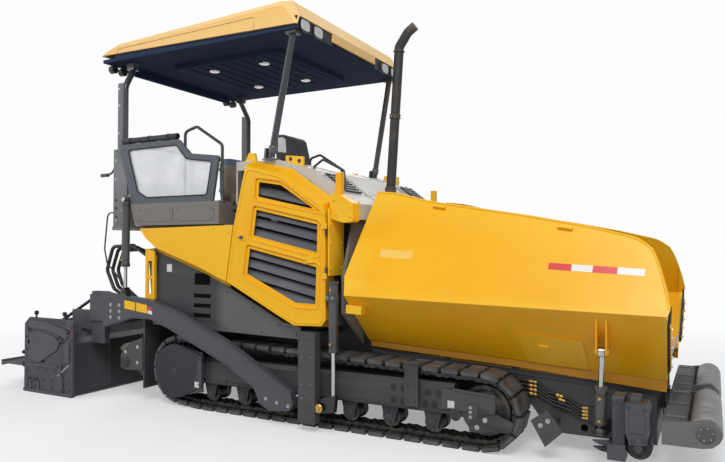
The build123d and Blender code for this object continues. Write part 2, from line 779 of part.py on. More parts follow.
def tow_arm():
    """The long curved arm that pulls the screed, with the link plate at its front end."""
    top = [(bracket_x + 20, 1118), (-1850, 1085), (-1660, 1080), (-1400, 1056), (-1050, 960),
           (-430, 715), (300, 322)]
    front = [(326, 205), (285, 150), (75, 132), (-32, 185), (-94, 316)]
    under = [(-430, 500), (-1150, 792), (-1380, 862), (-1620, 862), (bracket_x + 20, 745)]
    arm = side_plate(top + front + under, arm_y0, arm_y1, radius=18)
    link = [(120, 160), (280, 170), (tow_x + 55, tow_z - 50), (tow_x + 55, tow_z + 50),
            (280, 262), (120, 262)]
    arm += side_plate(link, tow_link_y0, tow_link_y1)
    arm += box(140, 270, arm_y1, tow_link_y0, 170, 250)
    return arm - cross_pin(tow_x, tow_z, 24 + run_gap, -1300, -1100)


sole = 14
screed_inner = screed_half_width - 40


def screed_box():
    """The screed's heated body: a closed box on its sole plate, with a stepped crown."""
    section = [(screed_front, 30), (screed_front, 560), (screed_front - 60, 610),
               (screed_front - 120, 700), (screed_rear + 180, 700), (screed_rear + 60, 620),
               (screed_rear, 520), (screed_rear, 60), (screed_rear + 40, 30)]
    body = side_plate(section, -screed_inner, screed_inner)
    body += side_plate([(screed_front, 30), (screed_front - 8, sole), (screed_front - 30, 0),
                        (screed_rear + 12, 0), (screed_rear + 12, 30)],
                       -screed_inner, screed_inner)
    for y in (-880, -420, 0, 420, 880):
        body += box(screed_front, screed_front + 12, y - 12, y + 12, 60, 540)
    return body - box(screed_rear + 200, screed_front - 170, -screed_inner + 50,
                      screed_inner - 50, 70, 650)


def end_gate():
    """The plate that closes the screed's end, with its bottom skid."""
    y0, y1 = -screed_half_width + 12, -screed_inner - run_gap
    gate = side_plate([(screed_rear - 20, 0), (screed_front + 10, 0), (screed_front + 10, 800),
                       (screed_front - 150, 812), (screed_rear + 60, 812), (screed_rear - 20, 740)],
                      y0, y1, radius=12)
    gate += box(screed_rear - 20, screed_front + 10, -screed_half_width, y0, 0, 34)
    gate += box(screed_front - 190, screed_front - 160, -screed_half_width, y0, 60, 330)
    return gate


def gate_linkage():
    """The height links on the end gate: a curved upper link and a quadrant plate."""
    y0, y1 = -screed_half_width + 12 - run_gap, -screed_half_width
    upper = [(30, 740), (100, 786), (380, 770), (670, 700), (700, 640), (660, 600), (580, 640),
             (360, 690), (100, 690)]
    quadrant = [(80, 360), (240, 330), (520, 480), (570, 560), (490, 620), (240, 672), (80, 640)]
    return [side_plate([(screed_rear + x, z) for x, z in points], y0, y1, radius=radius)
            for points, radius in ((upper, 14), (quadrant, 20))]


def arm_bracket():
    """The upright between the arm and the screed, bolted to the arm's rear end."""
    y1 = arm_y1 + run_gap
    upright = box(bracket_x - 260, bracket_x - 60, y1 + 26, y1 + 92, 560, 1110)
    upright += box(bracket_x - 260, bracket_x + 240, y1, y1 + 26, 800, 1080)
    upright += box(screed_front - 260, bracket_x - 60, y1 + 26, y1 + 92, 700 + run_gap, 900)
    return upright


def screed_crown():
    """The frame on the screed's top, with the tie bars that set its angle."""
    base = 700 + run_gap
    x0, x1 = screed_rear + 190, screed_rear + 640
    rail_front = box(x1 - 60, x1, -1060, 1060, base, base + 70)
    rail_rear = box(x0, x0 + 60, -1180, 1180, base, base + 70)
    frame = rail_front + rail_rear
    for y in (-1040, -560, 0, 560, 1040):
        frame += box(x0, x1, y - 20, y + 20, base, base + 70)
    for y in (-560, 560):
        frame += box(x0 + 60, x1 - 60, y - 14, y + 14, base + 60, base + 210)
    frame += box(x0 + 205, x0 + 235, -560, 560, base + 150, base + 210)
    for y in (-1072, 1072):
        frame += cylinder((x0 + 25, y, base + 50), (bracket_x - 230, y, base + 380), 17)
    return frame


def screed_walkway():
    """The step along the screed's rear, on brackets."""
    deck = box(rear_end, screed_rear - 60, -screed_inner, screed_inner, 262, 278)
    deck += box(rear_end, rear_end + 12, -screed_inner, screed_inner, 240, 300)
    for y in (-1180, -400, 400, 1180):
        deck += side_plate([(rear_end + 40, 262), (screed_rear - run_gap, 120),
                            (screed_rear - run_gap, 330), (screed_rear - 70, 278),
                            (screed_rear - 70, 262)], y - 8, y + 8)
    return deck


add("screed_body", screed_box())
add("screed_end_gates", *both(end_gate()))
for piece in gate_linkage():
    add("screed_end_gates", *both(piece))
add("screed_crown", screed_crown())
add("screed_walkway", screed_walkway())

# --- screed lift cylinders
lift_x, lift_y = -1760, -1216
lift_top_z, lift_eye_z = 2070, 1140
lift_barrel_low = 1380
lift_eye_radius, lift_bore_radius, lift_pin_radius = 32, 23, 12


def lift_barrel():
    body = cylinder((lift_x, lift_y, lift_barrel_low), (lift_x, lift_y, lift_top_z - 20), 40)
    body += cross_pin(lift_x, lift_top_z, 36, lift_y - 20, lift_y + 20)
    body -= cylinder((lift_x, lift_y, lift_barrel_low - 5), (lift_x, lift_y, lift_top_z - 80),
                     18 + run_gap)
    return body - cross_pin(lift_x, lift_top_z, 16 + run_gap, lift_y - 40, lift_y + 40)


def lift_hanger():
    """The upright on the platform's edge with the pin that holds a lift cylinder."""
    plate = side_plate([(lift_x - 75, deck_high + run_gap), (lift_x + 54, deck_high + run_gap),
                        (lift_x + 54, lift_top_z + 20), (lift_x + 30, lift_top_z + 45),
                        (lift_x - 30, lift_top_z + 45)], -1128, -1146)
    return plate + cross_pin(lift_x, lift_top_z, 16, -1252, -1146)


def lift_rod():
    rod = cylinder((lift_x, lift_y, lift_eye_z + 26), (lift_x, lift_y, lift_top_z - 345), 18)
    rod += cross_pin(lift_x, lift_eye_z, lift_eye_radius, lift_y - 16, lift_y + 16)
    return rod - cross_pin(lift_x, lift_eye_z, lift_bore_radius, lift_y - 40, lift_y + 40)


def lift_ears():
    """The ears on the arm's top that hold the lift rod's pin."""
    ears = cross_pin(lift_x, lift_eye_z, lift_pin_radius, arm_y0, arm_y1)
    for y0, y1 in ((arm_y0, arm_y0 + 12), (arm_y1 - 12, arm_y1)):
        ears += side_plate([(lift_x - 50, 1070), (lift_x + 50, 1070),
                            (lift_x + 24, lift_eye_z + 26), (lift_x - 24, lift_eye_z + 26)],
                           y0, y1)
    return ears


add("tow_arms", *both(tow_arm() + lift_ears()))
add("tow_arms", *both(arm_bracket()))
add("lift_barrels", *both(lift_barrel()))
add("lift_rods", *both(lift_rod()))

# ================================================================ augers
auger_x, auger_z, auger_radius, auger_shaft = -1800, 400, 185, 42
auger_in, auger_out = 90 + run_gap, 1150
flight_pitch, flight_thick = 300, 16
moldboard_x0, moldboard_x1 = -1560, -1540


def auger(side):
    """A screw conveyor: a shaft with one helical flight, handed for its side."""
    shaft = cross_pin(auger_x, auger_z, auger_shaft, side * auger_in, side * auger_out)
    sweep_deg = 360 * flight_thick / flight_pitch
    length = auger_out - auger_in - 60
    start = Plane(origin=(auger_x, side * (auger_in + 30), auger_z), x_dir=(1, 0, 0),
                  z_dir=(0, side, 0))
    arc_in = CenterArc((0, 0), auger_shaft - 4, 0, sweep_deg)
    arc_out = CenterArc((0, 0), auger_radius, 0, sweep_deg)
    sector = make_face([arc_in, Line(arc_in @ 1, arc_out @ 1), arc_out,
                        Line(arc_out @ 0, arc_in @ 0)])
    turns = length / flight_pitch
    flight = Solid.extrude_linear_with_rotation(
        (start * sector).face(), center=start.origin, normal=start.z_dir * length,
        angle=360 * turns)
    return shaft + flight


add("auger_right", auger(-1))
add("auger_left", auger(1))


def auger_frame():
    """The moldboard behind the crawlers, the auger drive's chain case and the outer bearings."""
    board = box(moldboard_x0, moldboard_x1, -1160, 1160, 150, 1040)
    board -= box(moldboard_x0 - 1, moldboard_x1 + 1, -660, 660, 640, 1041)
    case = side_plate([(moldboard_x0, 700), (moldboard_x0, 480), (auger_x, auger_z - 90),
                       (auger_x - 90, auger_z - 40), (auger_x - 90, auger_z + 60),
                       (auger_x, auger_z + 130)], -90, 90, radius=8)
    board += case
    stay = box(moldboard_x1, frame_rear - run_gap, -60, 60, 480, 620)
    board += stay
    for side in (-1, 1):
        y0 = side * (auger_out + run_gap)
        board += side_plate([(moldboard_x0, 330), (moldboard_x0, 660), (auger_x + 60, 600),
                             (auger_x - 70, 470), (auger_x - 70, 340), (auger_x, 320)],
                            y0, y0 + side * 22)
    for y in (-700, 700):
        board += box(moldboard_x1, frame_rear - run_gap, y - 40, y + 40, 400, 600)
    return board


add("auger_frame", auger_frame())

# ================================================================ side panels and doors
skin = 22
door_outer, door_inner = -body_half_width, -1070
seam_gap = 8


def pan(face_points, back_points, y_face, y_back, wall):
    """A pressed panel: a flat face whose edges turn back, hollow behind."""
    def solid(front, back, y0, y1):
        return loft([make_face(Polyline(*[(x, y0, z) for x, z in front], close=True)),
                     make_face(Polyline(*[(x, y1, z) for x, z in back], close=True))], ruled=True)

    shell = solid(face_points, back_points, y_face, y_back)
    grow = 2 if y_back > y_face else -2
    hollow = solid(offset_outline(face_points, wall), offset_outline(back_points, wall),
                   y_face + math.copysign(wall, y_back - y_face), y_back + grow)
    return shell - hollow


def offset_outline(points, wall):
    """The outline moved inward by the wall thickness, edge by edge."""
    count = len(points)
    area = sum(points[i][0] * points[(i + 1) % count][1] - points[(i + 1) % count][0] * points[i][1]
               for i in range(count))
    turn = 1 if area > 0 else -1
    lines = []
    for i in range(count):
        (x0, z0), (x1, z1) = points[i], points[(i + 1) % count]
        length = math.hypot(x1 - x0, z1 - z0)
        nx, nz = -(z1 - z0) / length * turn, (x1 - x0) / length * turn
        lines.append((x0 + nx * wall, z0 + nz * wall, x1 - x0, z1 - z0))
    moved = []
    for i in range(count):
        ax, az, adx, adz = lines[i - 1]
        bx, bz, bdx, bdz = lines[i]
        cross = adx * bdz - adz * bdx
        share = ((bx - ax) * bdz - (bz - az) * bdx) / cross
        moved.append((ax + adx * share, az + adz * share))
    return moved


def rear_side_panel():
    face = [(-1560, 1768), (-366, 1788), (-447, 1262), (-800, 1400), (-1340, 1576), (-1480, 1672)]
    back = [(-1580, 1768), (-366, 1788), (-460, 1200), (-800, 1335), (-1380, 1530), (-1525, 1655)]
    return pan(face, back, door_outer, panel_plane_y - run_gap, skin)


def door_outline():
    face = [(-222, 2330), (170, 2232), (600, 1950), (636, 1880), (640, 960), (596, 905),
            (318, 897), (150, 975), (-436, 1262), (-353, 1788)]
    back = [(-235, 2392), (190, 2300), (652, 1996), (640, 1880), (640, 945), (606, 884),
            (306, 874), (140, 942), (-444, 1213), (-353, 1788)]
    return face, back


windows = {
    # name: corners (x, z) of a louvre window in the door
    "upper": [(-77, 2180), (170, 2140), (545, 1900), (-88, 2037)],
    "middle": [(-106, 1929), (556, 1784), (552, 1530), (-140, 1684)],
    "lower": [(-180, 1575), (547, 1414), (536, 1084), (325, 1090), (-212, 1336)],
}
window_recess = 12
door_pivot = (648, -1228)
corner_x0, corner_x1 = 661, 675          # the fixed panel in front of the door's edge
door_knuckles = ((1310, 1360), (1740, 1790))


def louvre_door():
    face, back = door_outline()
    door = pan(face, back, door_outer, door_inner, skin)
    for corners in windows.values():
        door -= side_plate(corners, door_outer - 5, door_outer + skin + 5, radius=12)
        wider = offset_outline(corners, -26)
        door -= side_plate(wider, door_outer - 5, door_outer + window_recess, radius=24)
    for z0, z1 in door_knuckles:
        door += cylinder((door_pivot[0], door_pivot[1], z0), (door_pivot[0], door_pivot[1], z1), 10)
        door += box(612, door_pivot[0], door_pivot[1] - 6, door_outer + 4, z0, z1)
    return door


def door_post():
    """The post behind the corner panel, with the fixed halves of the door's hinges."""
    x, y = door_pivot
    post = cross_plate([(-frame_half - run_gap, 880), (-1062, 1100), (-1062, 1815), (-1022, 1815),
                        (-1022, 1180), (-frame_half - run_gap, 980)], 612, 652)
    post += box(640, corner_x0 - run_gap, -1062, -1022, 1345, 1815)
    for (low, high), side in zip(door_knuckles, (1, -1)):
        z0 = high + 0.8 if side > 0 else low - 50.8
        post += cylinder((x, y, z0), (x, y, z0 + 50), 10)
        post += box(x - 2, x + 10, y - 4, -1030, z0, z0 + 50)
    return post


louvre_pitch, louvre_count, louvre_slope = 98, 10, 12.3
louvre_first = 1120                   # height of the lowest blade at x = 200


def louvre_grille():
    """Curved blades on two uprights, behind the door's windows."""
    y0 = door_outer + skin + run_gap
    tilt = Rot(0, louvre_slope, 0)
    blades = None
    for i in range(louvre_count):
        z = louvre_first + i * louvre_pitch
        arc = ThreePointArc((0, 0), (12, 38), (46, 74))
        back = ThreePointArc((46, 66), (19, 34), (8, 0))
        face = make_face([Polyline((8, 0), (0, 0)), arc, Polyline((46, 74), (46, 66)), back])
        section = Plane(origin=(-520, y0 + 6, z), x_dir=(0, 1, 0), z_dir=(1, 0, 0)) * face
        blade = Pos(200, 0, z) * tilt * Pos(-200, 0, -z) * extrude(section, amount=1400)
        blades = blade if blades is None else blades + blade
    limits = [(-215, 2150), (150, 2130), (585, 1890), (590, 1010), (330, 1050), (-300, 1330),
              (-250, 1788)]
    window_box = side_plate(limits, y0 - 20, y0 + 90)
    grille = blades & window_box
    rear_rib = [(-300, 1330), (-250, 1788), (-215, 2150), (-185, 2150), (-222, 1788),
                (-262, 1330)]
    front_rib = [(566, 1020), (590, 1010), (585, 1890), (566, 1905)]
    for rib in (rear_rib, front_rib):
        grille += side_plate(rib, y0, y0 + 66)
    return grille


door_right, grille_right = louvre_door(), louvre_grille()
panel_right = rear_side_panel()
add("side_door_right", door_right)
add("side_door_left", left(door_right))
add("louvre_grille_right", grille_right)
add("louvre_grille_left", left(grille_right))
add("rear_side_panels", *both(panel_right))
add("panel_frames", *both(door_post()))


def lower_side_panel():
    points = [(-1530, 1560), (-1458, 800), (-560, 782), (-560, 1330), (-820, 1400), (-1360, 1580)]
    panel = side_plate(points, panel_plane_y, panel_plane_y + 30)
    for z in (905, 1000, 1095):
        panel -= box(-905, -715, panel_plane_y - 1, panel_plane_y + 12, z, z + 34)
    panel -= box(-1420, -1385, panel_plane_y - 1, panel_plane_y + 16, 1300, 1460)
    front = side_plate([(-552, 782), (330, 765), (330, 868), (140, 905), (-440, 1180),
                        (-552, 1230)], panel_plane_y, panel_plane_y + 30)
    return [panel, front]


def skirt_stay():
    """Plates that carry the front skirt and the door's frame on the chassis."""
    reach = panel_plane_y + 30 + run_gap
    stay = cross_plate([(-frame_half - run_gap, 800), (reach, 800), (reach, 860),
                        (-frame_half - run_gap, 940)], 200, 212)
    return stay


for piece in lower_side_panel():
    add("lower_side_panels", *both(piece))
add("panel_frames", *both(skirt_stay()))

# ================================================================ engine hood
hood_half = 1060
hood_front = 885
hood_wall = 18
stack_x, stack_y = 670, 0
stack_sleeve, stack_radius = 56, 48
stack_lean = math.tan(math.radians(3.9))     # the stack leans forward
stack_foot_z = 1930 + run_gap

hood_line = [(-455, 2396), (40, 2386), (430, 2272), (725, 2048), (hood_front, 1955)]


def hood_top(x):
    """Height of the hood's top at a place along the machine, with the seating gap."""
    for (x0, z0), (x1, z1) in zip(hood_line, hood_line[1:]):
        if x <= x1:
            return z0 + (z1 - z0) * (x - x0) / (x1 - x0) + run_gap
    return hood_line[-1][1] + run_gap


def hood():
    """The sloping engine hood, with a front lip and a rear wall that close it."""
    under = [(hood_front - hood_wall, 1943), (716, 2032), (424, 2254), (38, 2366), (-437, 2376)]
    outer = hood_line + [(hood_front, 1820), (hood_front - hood_wall, 1820)] + under
    outer += [(-437, 1990), (-455, 1990)]
    shell = side_plate(outer, -hood_half, hood_half)
    rib = list(reversed(under)) + [(hood_front - hood_wall, 1820), (800, 1820), (640, 1960),
                                   (380, 2180), (20, 2300), (-437, 2310)]
    side_rib = side_plate(rib, -hood_half, -hood_half + 20)
    shell = shell + side_rib + left(side_rib)
    return shell - cylinder((stack_x, stack_y, 1900), (stack_x, stack_y, 2400), stack_sleeve + 6)


def hood_corner():
    """The yellow cheek round the hood's shoulder, with the fixed corner panel under it."""
    cheek = side_plate([(660, 2040), (725, 2048), (hood_front, 1955), (hood_front, 1800),
                        (790, 1790), (660, 1830)], -1180, -hood_half - run_gap, radius=22)
    cheek += box(corner_x0, corner_x1, -1214, -965, 1338, 1915)
    cheek += box(corner_x0, corner_x1 + 60, -1180, -hood_half - run_gap, 1840, 1990)
    cheek += box(676, 732, -1112, -hood_half - run_gap, 2030, 2230)
    return cheek


lift_bores = ((145, 2390), (240, 2368))      # (x, z), clear above the sloping hood
lift_plate_y0, lift_plate_y1, lift_hole = -1030, -1010, 22


def lifting_bracket():
    """The lifting bracket welded on the hood's edge: an upright plate with two holes."""
    x0, x1 = 95, 290
    upright = side_plate([(x0, hood_top(x0)), (x1, hood_top(x1)), (x1, 2405), (x0 + 20, 2425),
                          (x0, 2425)], lift_plate_y0, lift_plate_y1)
    foot = side_plate([(x0, hood_top(x0)), (x1, hood_top(x1)), (x1, hood_top(x1) + 10),
                       (x0, hood_top(x0) + 10)], lift_plate_y1, -960)
    for x, z in lift_bores:
        upright -= cross_pin(x, z, lift_hole, -1100, -1000)
    return upright + foot


def hood_catch():
    """The small upright bracket on the hood's rear corner."""
    return side_plate([(-376, hood_top(-376)), (-245, hood_top(-245)), (-262, 2472),
                       (-330, 2478)], -1030, -1000)


add("engine_hood", hood())
add("hood_corners", *both(hood_corner()))
add("hood_corners", *both(lifting_bracket()), *both(hood_catch()))


def hood_frame():
    """The upright that carries the hood's rear corner, from the chassis plate."""
    post = [(-frame_half, frame_high + run_gap), (-frame_half + frame_plate, frame_high + run_gap),
            (-frame_half + frame_plate, 1790), (-1000, 1850), (-1000, 2308),
            (-1058, 2308), (-1058, 1700), (-frame_half, 1640)]
    return cross_plate(post, -432, -392)


add("panel_frames", *both(hood_frame()))


def exhaust():
    """The exhaust stack: a sleeve at its foot, a long leaning pipe and a bent tail."""
    def axis_x(z):
        return stack_x + (z - 2140) * stack_lean

    pipe = cylinder((stack_x, stack_y, stack_foot_z), (stack_x, stack_y, 2180), stack_sleeve)
    pipe += tube([(stack_x, stack_y, 2120), (axis_x(3610), stack_y, 3610),
                  (axis_x(3610) + 95, stack_y, 3745), (axis_x(3610) + 176, stack_y, 3800)],
                 stack_radius, 60)
    collar = (axis_x(2890), stack_y, 2890)
    pipe += cylinder(collar, (axis_x(2915), stack_y, 2915), stack_radius + 6)
    return pipe


add("exhaust_stack", exhaust())

# ================================================================ operator's platform
deck_rear, deck_front, deck_half = -2060, -460, -panel_plane_y


def platform():
    deck = box(deck_rear, deck_front, -deck_half, deck_half, deck_low, deck_high)
    return deck


def rear_frame():
    """The perforated plates at the platform's rear corners that carry the rear hoop."""
    plate = side_plate([(-2080, deck_high + run_gap), (-1880, deck_high + run_gap),
                        (-1880, 2250), (-1930, 2620), (-2080, 2620)], -1100, -1070, radius=0)
    for z in (1900, 1990, 2080):
        plate -= cross_pin(-2035, z, 14, -1110, -1060)
    return plate


add("platform_deck", platform())

console_z = 2020


def side_console():
    return side_plate([(-1700, console_z), (-540, console_z), (-540, deck_high + run_gap),
                       (-1640, deck_high + run_gap)], -1212, -1000)


add("operator_stands", *both(side_console()))
add("operator_stands", *both(lift_hanger()))


def shield_outline():
    return [(-1874, 2640), (-1060, 2640), (-905, 2492), (-550, 2448), (-625, console_z + run_gap),
            (-1700, console_z + run_gap)]


def shield_window():
    return [(-1745, 2575), (-1090, 2585), (-955, 2437), (-640, 2395), (-700, 2085),
            (-1490, 2085), (-1610, 2150)]


def shield():
    frame = side_plate(shield_outline(), -1205, -1175, radius=20)
    return frame - side_plate(shield_window(), -1210, -1170, radius=28)


def shield_pane():
    return side_plate(offset_outline(shield_window(), 0.4), -1194, -1186, radius=27.6)


add("side_shields", *both(shield()))
add("shield_panes", *both(shield_pane()))


def curtain_roll():
    """The rolled side curtain along the shield's top."""
    return cylinder((-1840, -1190, 2640 + 38 + run_gap), (-1080, -1190, 2640 + 36 + run_gap), 36)


add("curtain_rolls", *both(curtain_roll()))


seat_y, seat_half = 600, 230
seat_rear = -880


def seat(side):
    y = side * seat_y
    cushion = box(seat_rear + 125, -465, y - seat_half, y + seat_half, 2010, 2120)
    cushion = fillet(cushion.edges(), 35)
    back = side_plate([(seat_rear + 10, 2030), (seat_rear + 120, 2030), (seat_rear + 110, 2490),
                       (seat_rear, 2490)], y - seat_half, y + seat_half, radius=40)
    return cushion, back


def seat_base(side):
    y = side * seat_y
    base = box(-780, -500, y - 170, y + 170, deck_high + run_gap, 1960)
    base += box(seat_rear + 125, -470, y - 200, y + 200, 1960, 2010 - run_gap)
    base += side_plate([(seat_rear - 40, 1980), (seat_rear + 11 - run_gap, 1980),
                        (seat_rear + 2 - run_gap, 2400), (seat_rear - 40, 2400)], y - 60, y + 60)
    base += box(seat_rear - 40, seat_rear + 126, y - 60, y + 60, 1970, 2009.7)
    return base


for side in (-1, 1):
    cushion, back = seat(side)
    add("seat_pads", cushion, back)
    add("operator_stands", seat_base(side))


def console():
    """The operator's console on the hood's rear edge, in front of the right seat."""
    head = side_plate([(-182, hood_top(-182)), (0, hood_top(0)), (-20, 2470), (-62, 2640),
                       (-100, 2672), (-165, 2672), (-186, 2640)], -790, -440, radius=10)
    column = side_plate([(-300, hood_top(-300)), (-182, hood_top(-182)), (-182, hood_top(-182) + 60),
                         (-300, hood_top(-300) + 60)], -700, -520)
    return head + column


add("control_console", console())

rail_radius = 15


def handrails():
    rails = [
        tube([(-1030, -1140, console_z + run_gap), (-1030, -1140, 2720), (-880, -1140, 2760),
              (-560, -1140, 2560), (-560, -1140, console_z + run_gap)], rail_radius, 50),
    ]
    rails += [left(rails[0])]
    rails.append(tube([(345, -930, hood_top(345) + 3.3), (345, -930, hood_top(345) + 24),
                       (436, -930, 2380), (655, -930, 2268), (676, -930, hood_top(676) + 8.5)],
                      11, 16))
    back = tube([(deck_rear + 30, -990, deck_high + run_gap), (deck_rear + 30, -990, 2700),
                 (deck_rear + 30, 990, 2700), (deck_rear + 30, 990, deck_high + run_gap)],
                rail_radius + 4, 90)
    rails.append(back)
    return rails


for rail in handrails():
    add("handrails", rail)


def access_ladder():
    """The yellow slotted upright beside the rear steps."""
    ladder = side_plate([(-1530, 1040), (-1405, 1030), (-1405, 1535), (-1530, 1570)],
                        -1170, -1152, radius=6)
    for z0, z1 in ((1110, 1260), (1290, 1440)):
        ladder -= box(-1495, -1440, -1180, -1148, z0, z1)
    return ladder + box(-1430, -1412, -1152, panel_plane_y - run_gap, 1060, 1500)


# ================================================================ hoses
# Each hose is held at both ends by the chassis, so its shape is fixed.
def rear_hoses():
    """The three hoses that loop from the platform's underside down to the auger drive."""
    start_x, end_x = outrigger_places[0] - run_gap, moldboard_x0 - run_gap
    loops = []
    for step, y in enumerate((-985, -930, -875)):
        out = 22 * step
        loops.append(tube([(start_x, y, 1490), (-1700, y, 1490), (-1900, y, 1600 - out),
                           (-2210 + out, y, 1585 - out), (-2300 + out, y, 1330),
                           (-2190, y, 1130 + out), (-1800, y, 930), (end_x, y, 930)], 19, 70))
    return loops


def rear_cable():
    """The thin cable from the platform's rear rail to the auger drive."""
    x = deck_rear + 30 - rail_radius - 4 - run_gap
    return tube([(x, -990, 1955), (-2290, -990, 1955), (-2325, -1000, 1560),
                 (-2270, -1010, 1400), (-2120, -1030, 1300), (-1800, -1040, 1000),
                 (moldboard_x0 - run_gap, -1040, 1000)], 8, 60)


def front_hoses():
    """Four hoses along the chassis nose between two blocks, behind the track."""
    y = -frame_half - run_gap
    pieces = box(2095, 2160, y - 38, y, 415, 545)
    pieces += box(2712, 2774, y - 38, y, 262, 372)
    for step in range(4):
        z0, z1 = 530 - 32 * step, 358 - 26 * step
        pieces += tube([(2150, y - 20, z0), (2330, y - 20, z0 - 12),
                        (2400 + 22 * step, y - 24, z0 - 78), (2560 + 12 * step, y - 24, z0 - 110),
                        (2650, y - 20, z1), (2730, y - 20, z1)], 9, 30)
    return pieces


add("machine_hoses", *both(front_hoses()))
for hose in rear_hoses():
    add("machine_hoses", *both(hose))
add("machine_hoses", rear_cable())

# ================================================================ canopy
roof_rear, roof_front, roof_half = -2290, 260, 1110
hoop_radius = 32
lamp_bay = (-roof_half + 28, -roof_half + 650)   # the dark bay for the head lamps, as y
lamp_top = 3692


def roof():
    """The moulded roof: deep at the front, with a turned-down rim all round."""
    side_view = [(roof_rear, 3652), (roof_rear + 30, 3715), (roof_rear + 210, 3772),
                 (60, 3866), (170, 3850), (roof_front, 3700), (roof_front, 3612)]
    outer = side_plate(side_view, -roof_half, roof_half)
    top_edges = [e for e in outer.edges().filter_by(Plane.XZ)
                 if e.center().Z > 3700 and abs(e.center().Y) > roof_half - 1
                 and roof_rear + 40 < e.center().X < roof_front - 20]
    outer = chamfer(top_edges, 70)
    inner_view = offset_outline(side_view, 20)
    inner_view = [(x, z - 40 if z < 3680 else z) for x, z in inner_view]
    inner = side_plate(inner_view, -roof_half + 20, roof_half - 20)
    inner = inner & box(roof_rear, roof_front, -roof_half + 20, roof_half - 20, 3500, 3790)
    shell = outer - inner
    notch = box(roof_front - 90, roof_front + 5, *lamp_bay, 3560, lamp_top)
    return shell - notch - left(notch)


def liner():
    """The dark headlining: a flat pan with a dropped centre and rear lip."""
    z0 = 3575
    pan_solid = box(roof_rear + 24, roof_front - 24, -roof_half + 20 + run_gap,
                    roof_half - 20 - run_gap, z0, 3610)
    pan_solid += box(roof_rear + 200, roof_front - 200, -roof_half + 20 + run_gap,
                     roof_half - 20 - run_gap, 3610, 3640)
    drop = box(-1650, -250, -650, 650, z0 - 45, z0)
    lip = side_plate([(roof_rear + 40, z0), (roof_rear + 180, z0), (roof_rear + 150, z0 - 75),
                      (roof_rear + 110, z0 - 75)], -800, 800)
    return pan_solid + drop + lip


liner_z = 3575


def roof_posts():
    """The bent tubes that carry the roof, each with a foot plate."""
    rear_foot, rear_x, rear_y = 2600, -1965, -1050
    top = liner_z - run_gap
    rear = tube([(rear_x, rear_y, rear_foot - 60), (rear_x, rear_y, 3300),
                 (rear_x - 25, rear_y + 125, top - 75)], hoop_radius, 120)
    rear += box(rear_x - 75, rear_x + 25, rear_y + 85, rear_y + 160, top - 76, top)
    rear += box(rear_x - 105, rear_x - 24, rear_y - 8, rear_y + 8, rear_foot - 20, 3340)
    rear += rear_frame()
    # the front post leans forward and a little inward; its foot is a plate on the hood's edge
    front = tube([(-56, -1050, 2398), (120, -1024, 3330), (163, -1015, top - 20)],
                 hoop_radius, 200)
    front += box(105, 221, -1065, -965, top - 30, top)
    foot = side_plate([(-120, hood_top(-120)), (12, hood_top(12)), (12, hood_top(12) + 12),
                       (-120, hood_top(-120) + 12)], -1105, -985)
    foot += side_plate([(-112, hood_top(-112) + 5), (-88, hood_top(-112) + 5),
                        (-76, 2500), (-100, 2500)], -1090, -1010)
    return rear, front + foot


def roof_lamps():
    """The head lamps in their dark bay, and a pair of work lamps at each rear corner."""
    y0, y1 = lamp_bay
    lamps = []
    bay = box(roof_front - 88, roof_front - 14, y0 + run_gap, y1 - run_gap, 3610 + run_gap,
              lamp_top - run_gap)
    bay = bay + box(roof_front - 23.7, roof_front - 14, y0 + run_gap, y1 - run_gap, 3578, 3620)
    for y in (y0 + 130, y0 + 400):
        lamp = box(roof_front - 14, roof_front - 2, y - 92, y + 92, 3592, 3672)
        bay += fillet(lamp.edges().filter_by(Axis.X), 30)
    lamps += both(bay)
    for y in (-1010, -880):
        lamp = cylinder((roof_rear + 62, y, 3516), (roof_rear + 122, y, 3516), 42)
        lamp += box(roof_rear + 80, roof_rear + 104, y - 12, y + 12, 3516, liner_z - run_gap)
        lamps += both(lamp)
    return lamps


add("canopy_roof", roof())
add("canopy_liner", liner())
for post in roof_posts():
    add("canopy_posts", *both(post))
add("canopy_lamps", *roof_lamps())
add("rear_side_panels", *both(access_ladder()))

# ================================================================ files
os.makedirs("parts", exist_ok=True)
for name, solids in nodes.items():
    part = solids[0] if len(solids) == 1 else Compound(children=solids)
    export_step(part, f"parts/{name}.step")
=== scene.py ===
import json
import math
from itertools import product

import bmesh
import bpy
from mathutils import Matrix, Vector, noise

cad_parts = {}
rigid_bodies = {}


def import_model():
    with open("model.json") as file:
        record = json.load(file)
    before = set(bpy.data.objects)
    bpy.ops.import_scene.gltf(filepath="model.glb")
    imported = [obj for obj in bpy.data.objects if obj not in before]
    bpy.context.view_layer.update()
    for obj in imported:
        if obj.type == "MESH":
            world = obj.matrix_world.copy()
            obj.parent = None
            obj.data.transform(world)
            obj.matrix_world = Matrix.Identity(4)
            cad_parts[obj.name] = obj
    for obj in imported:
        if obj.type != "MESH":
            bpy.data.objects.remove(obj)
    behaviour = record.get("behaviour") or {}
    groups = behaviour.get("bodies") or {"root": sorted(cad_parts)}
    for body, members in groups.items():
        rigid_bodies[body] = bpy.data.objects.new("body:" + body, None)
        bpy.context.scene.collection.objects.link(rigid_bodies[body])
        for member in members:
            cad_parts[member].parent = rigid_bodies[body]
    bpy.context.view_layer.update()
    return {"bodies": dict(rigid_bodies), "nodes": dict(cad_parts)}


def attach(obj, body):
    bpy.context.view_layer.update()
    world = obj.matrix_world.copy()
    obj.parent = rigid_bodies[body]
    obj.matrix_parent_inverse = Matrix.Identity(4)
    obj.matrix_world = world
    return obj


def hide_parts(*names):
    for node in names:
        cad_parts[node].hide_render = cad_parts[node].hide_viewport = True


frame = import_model()


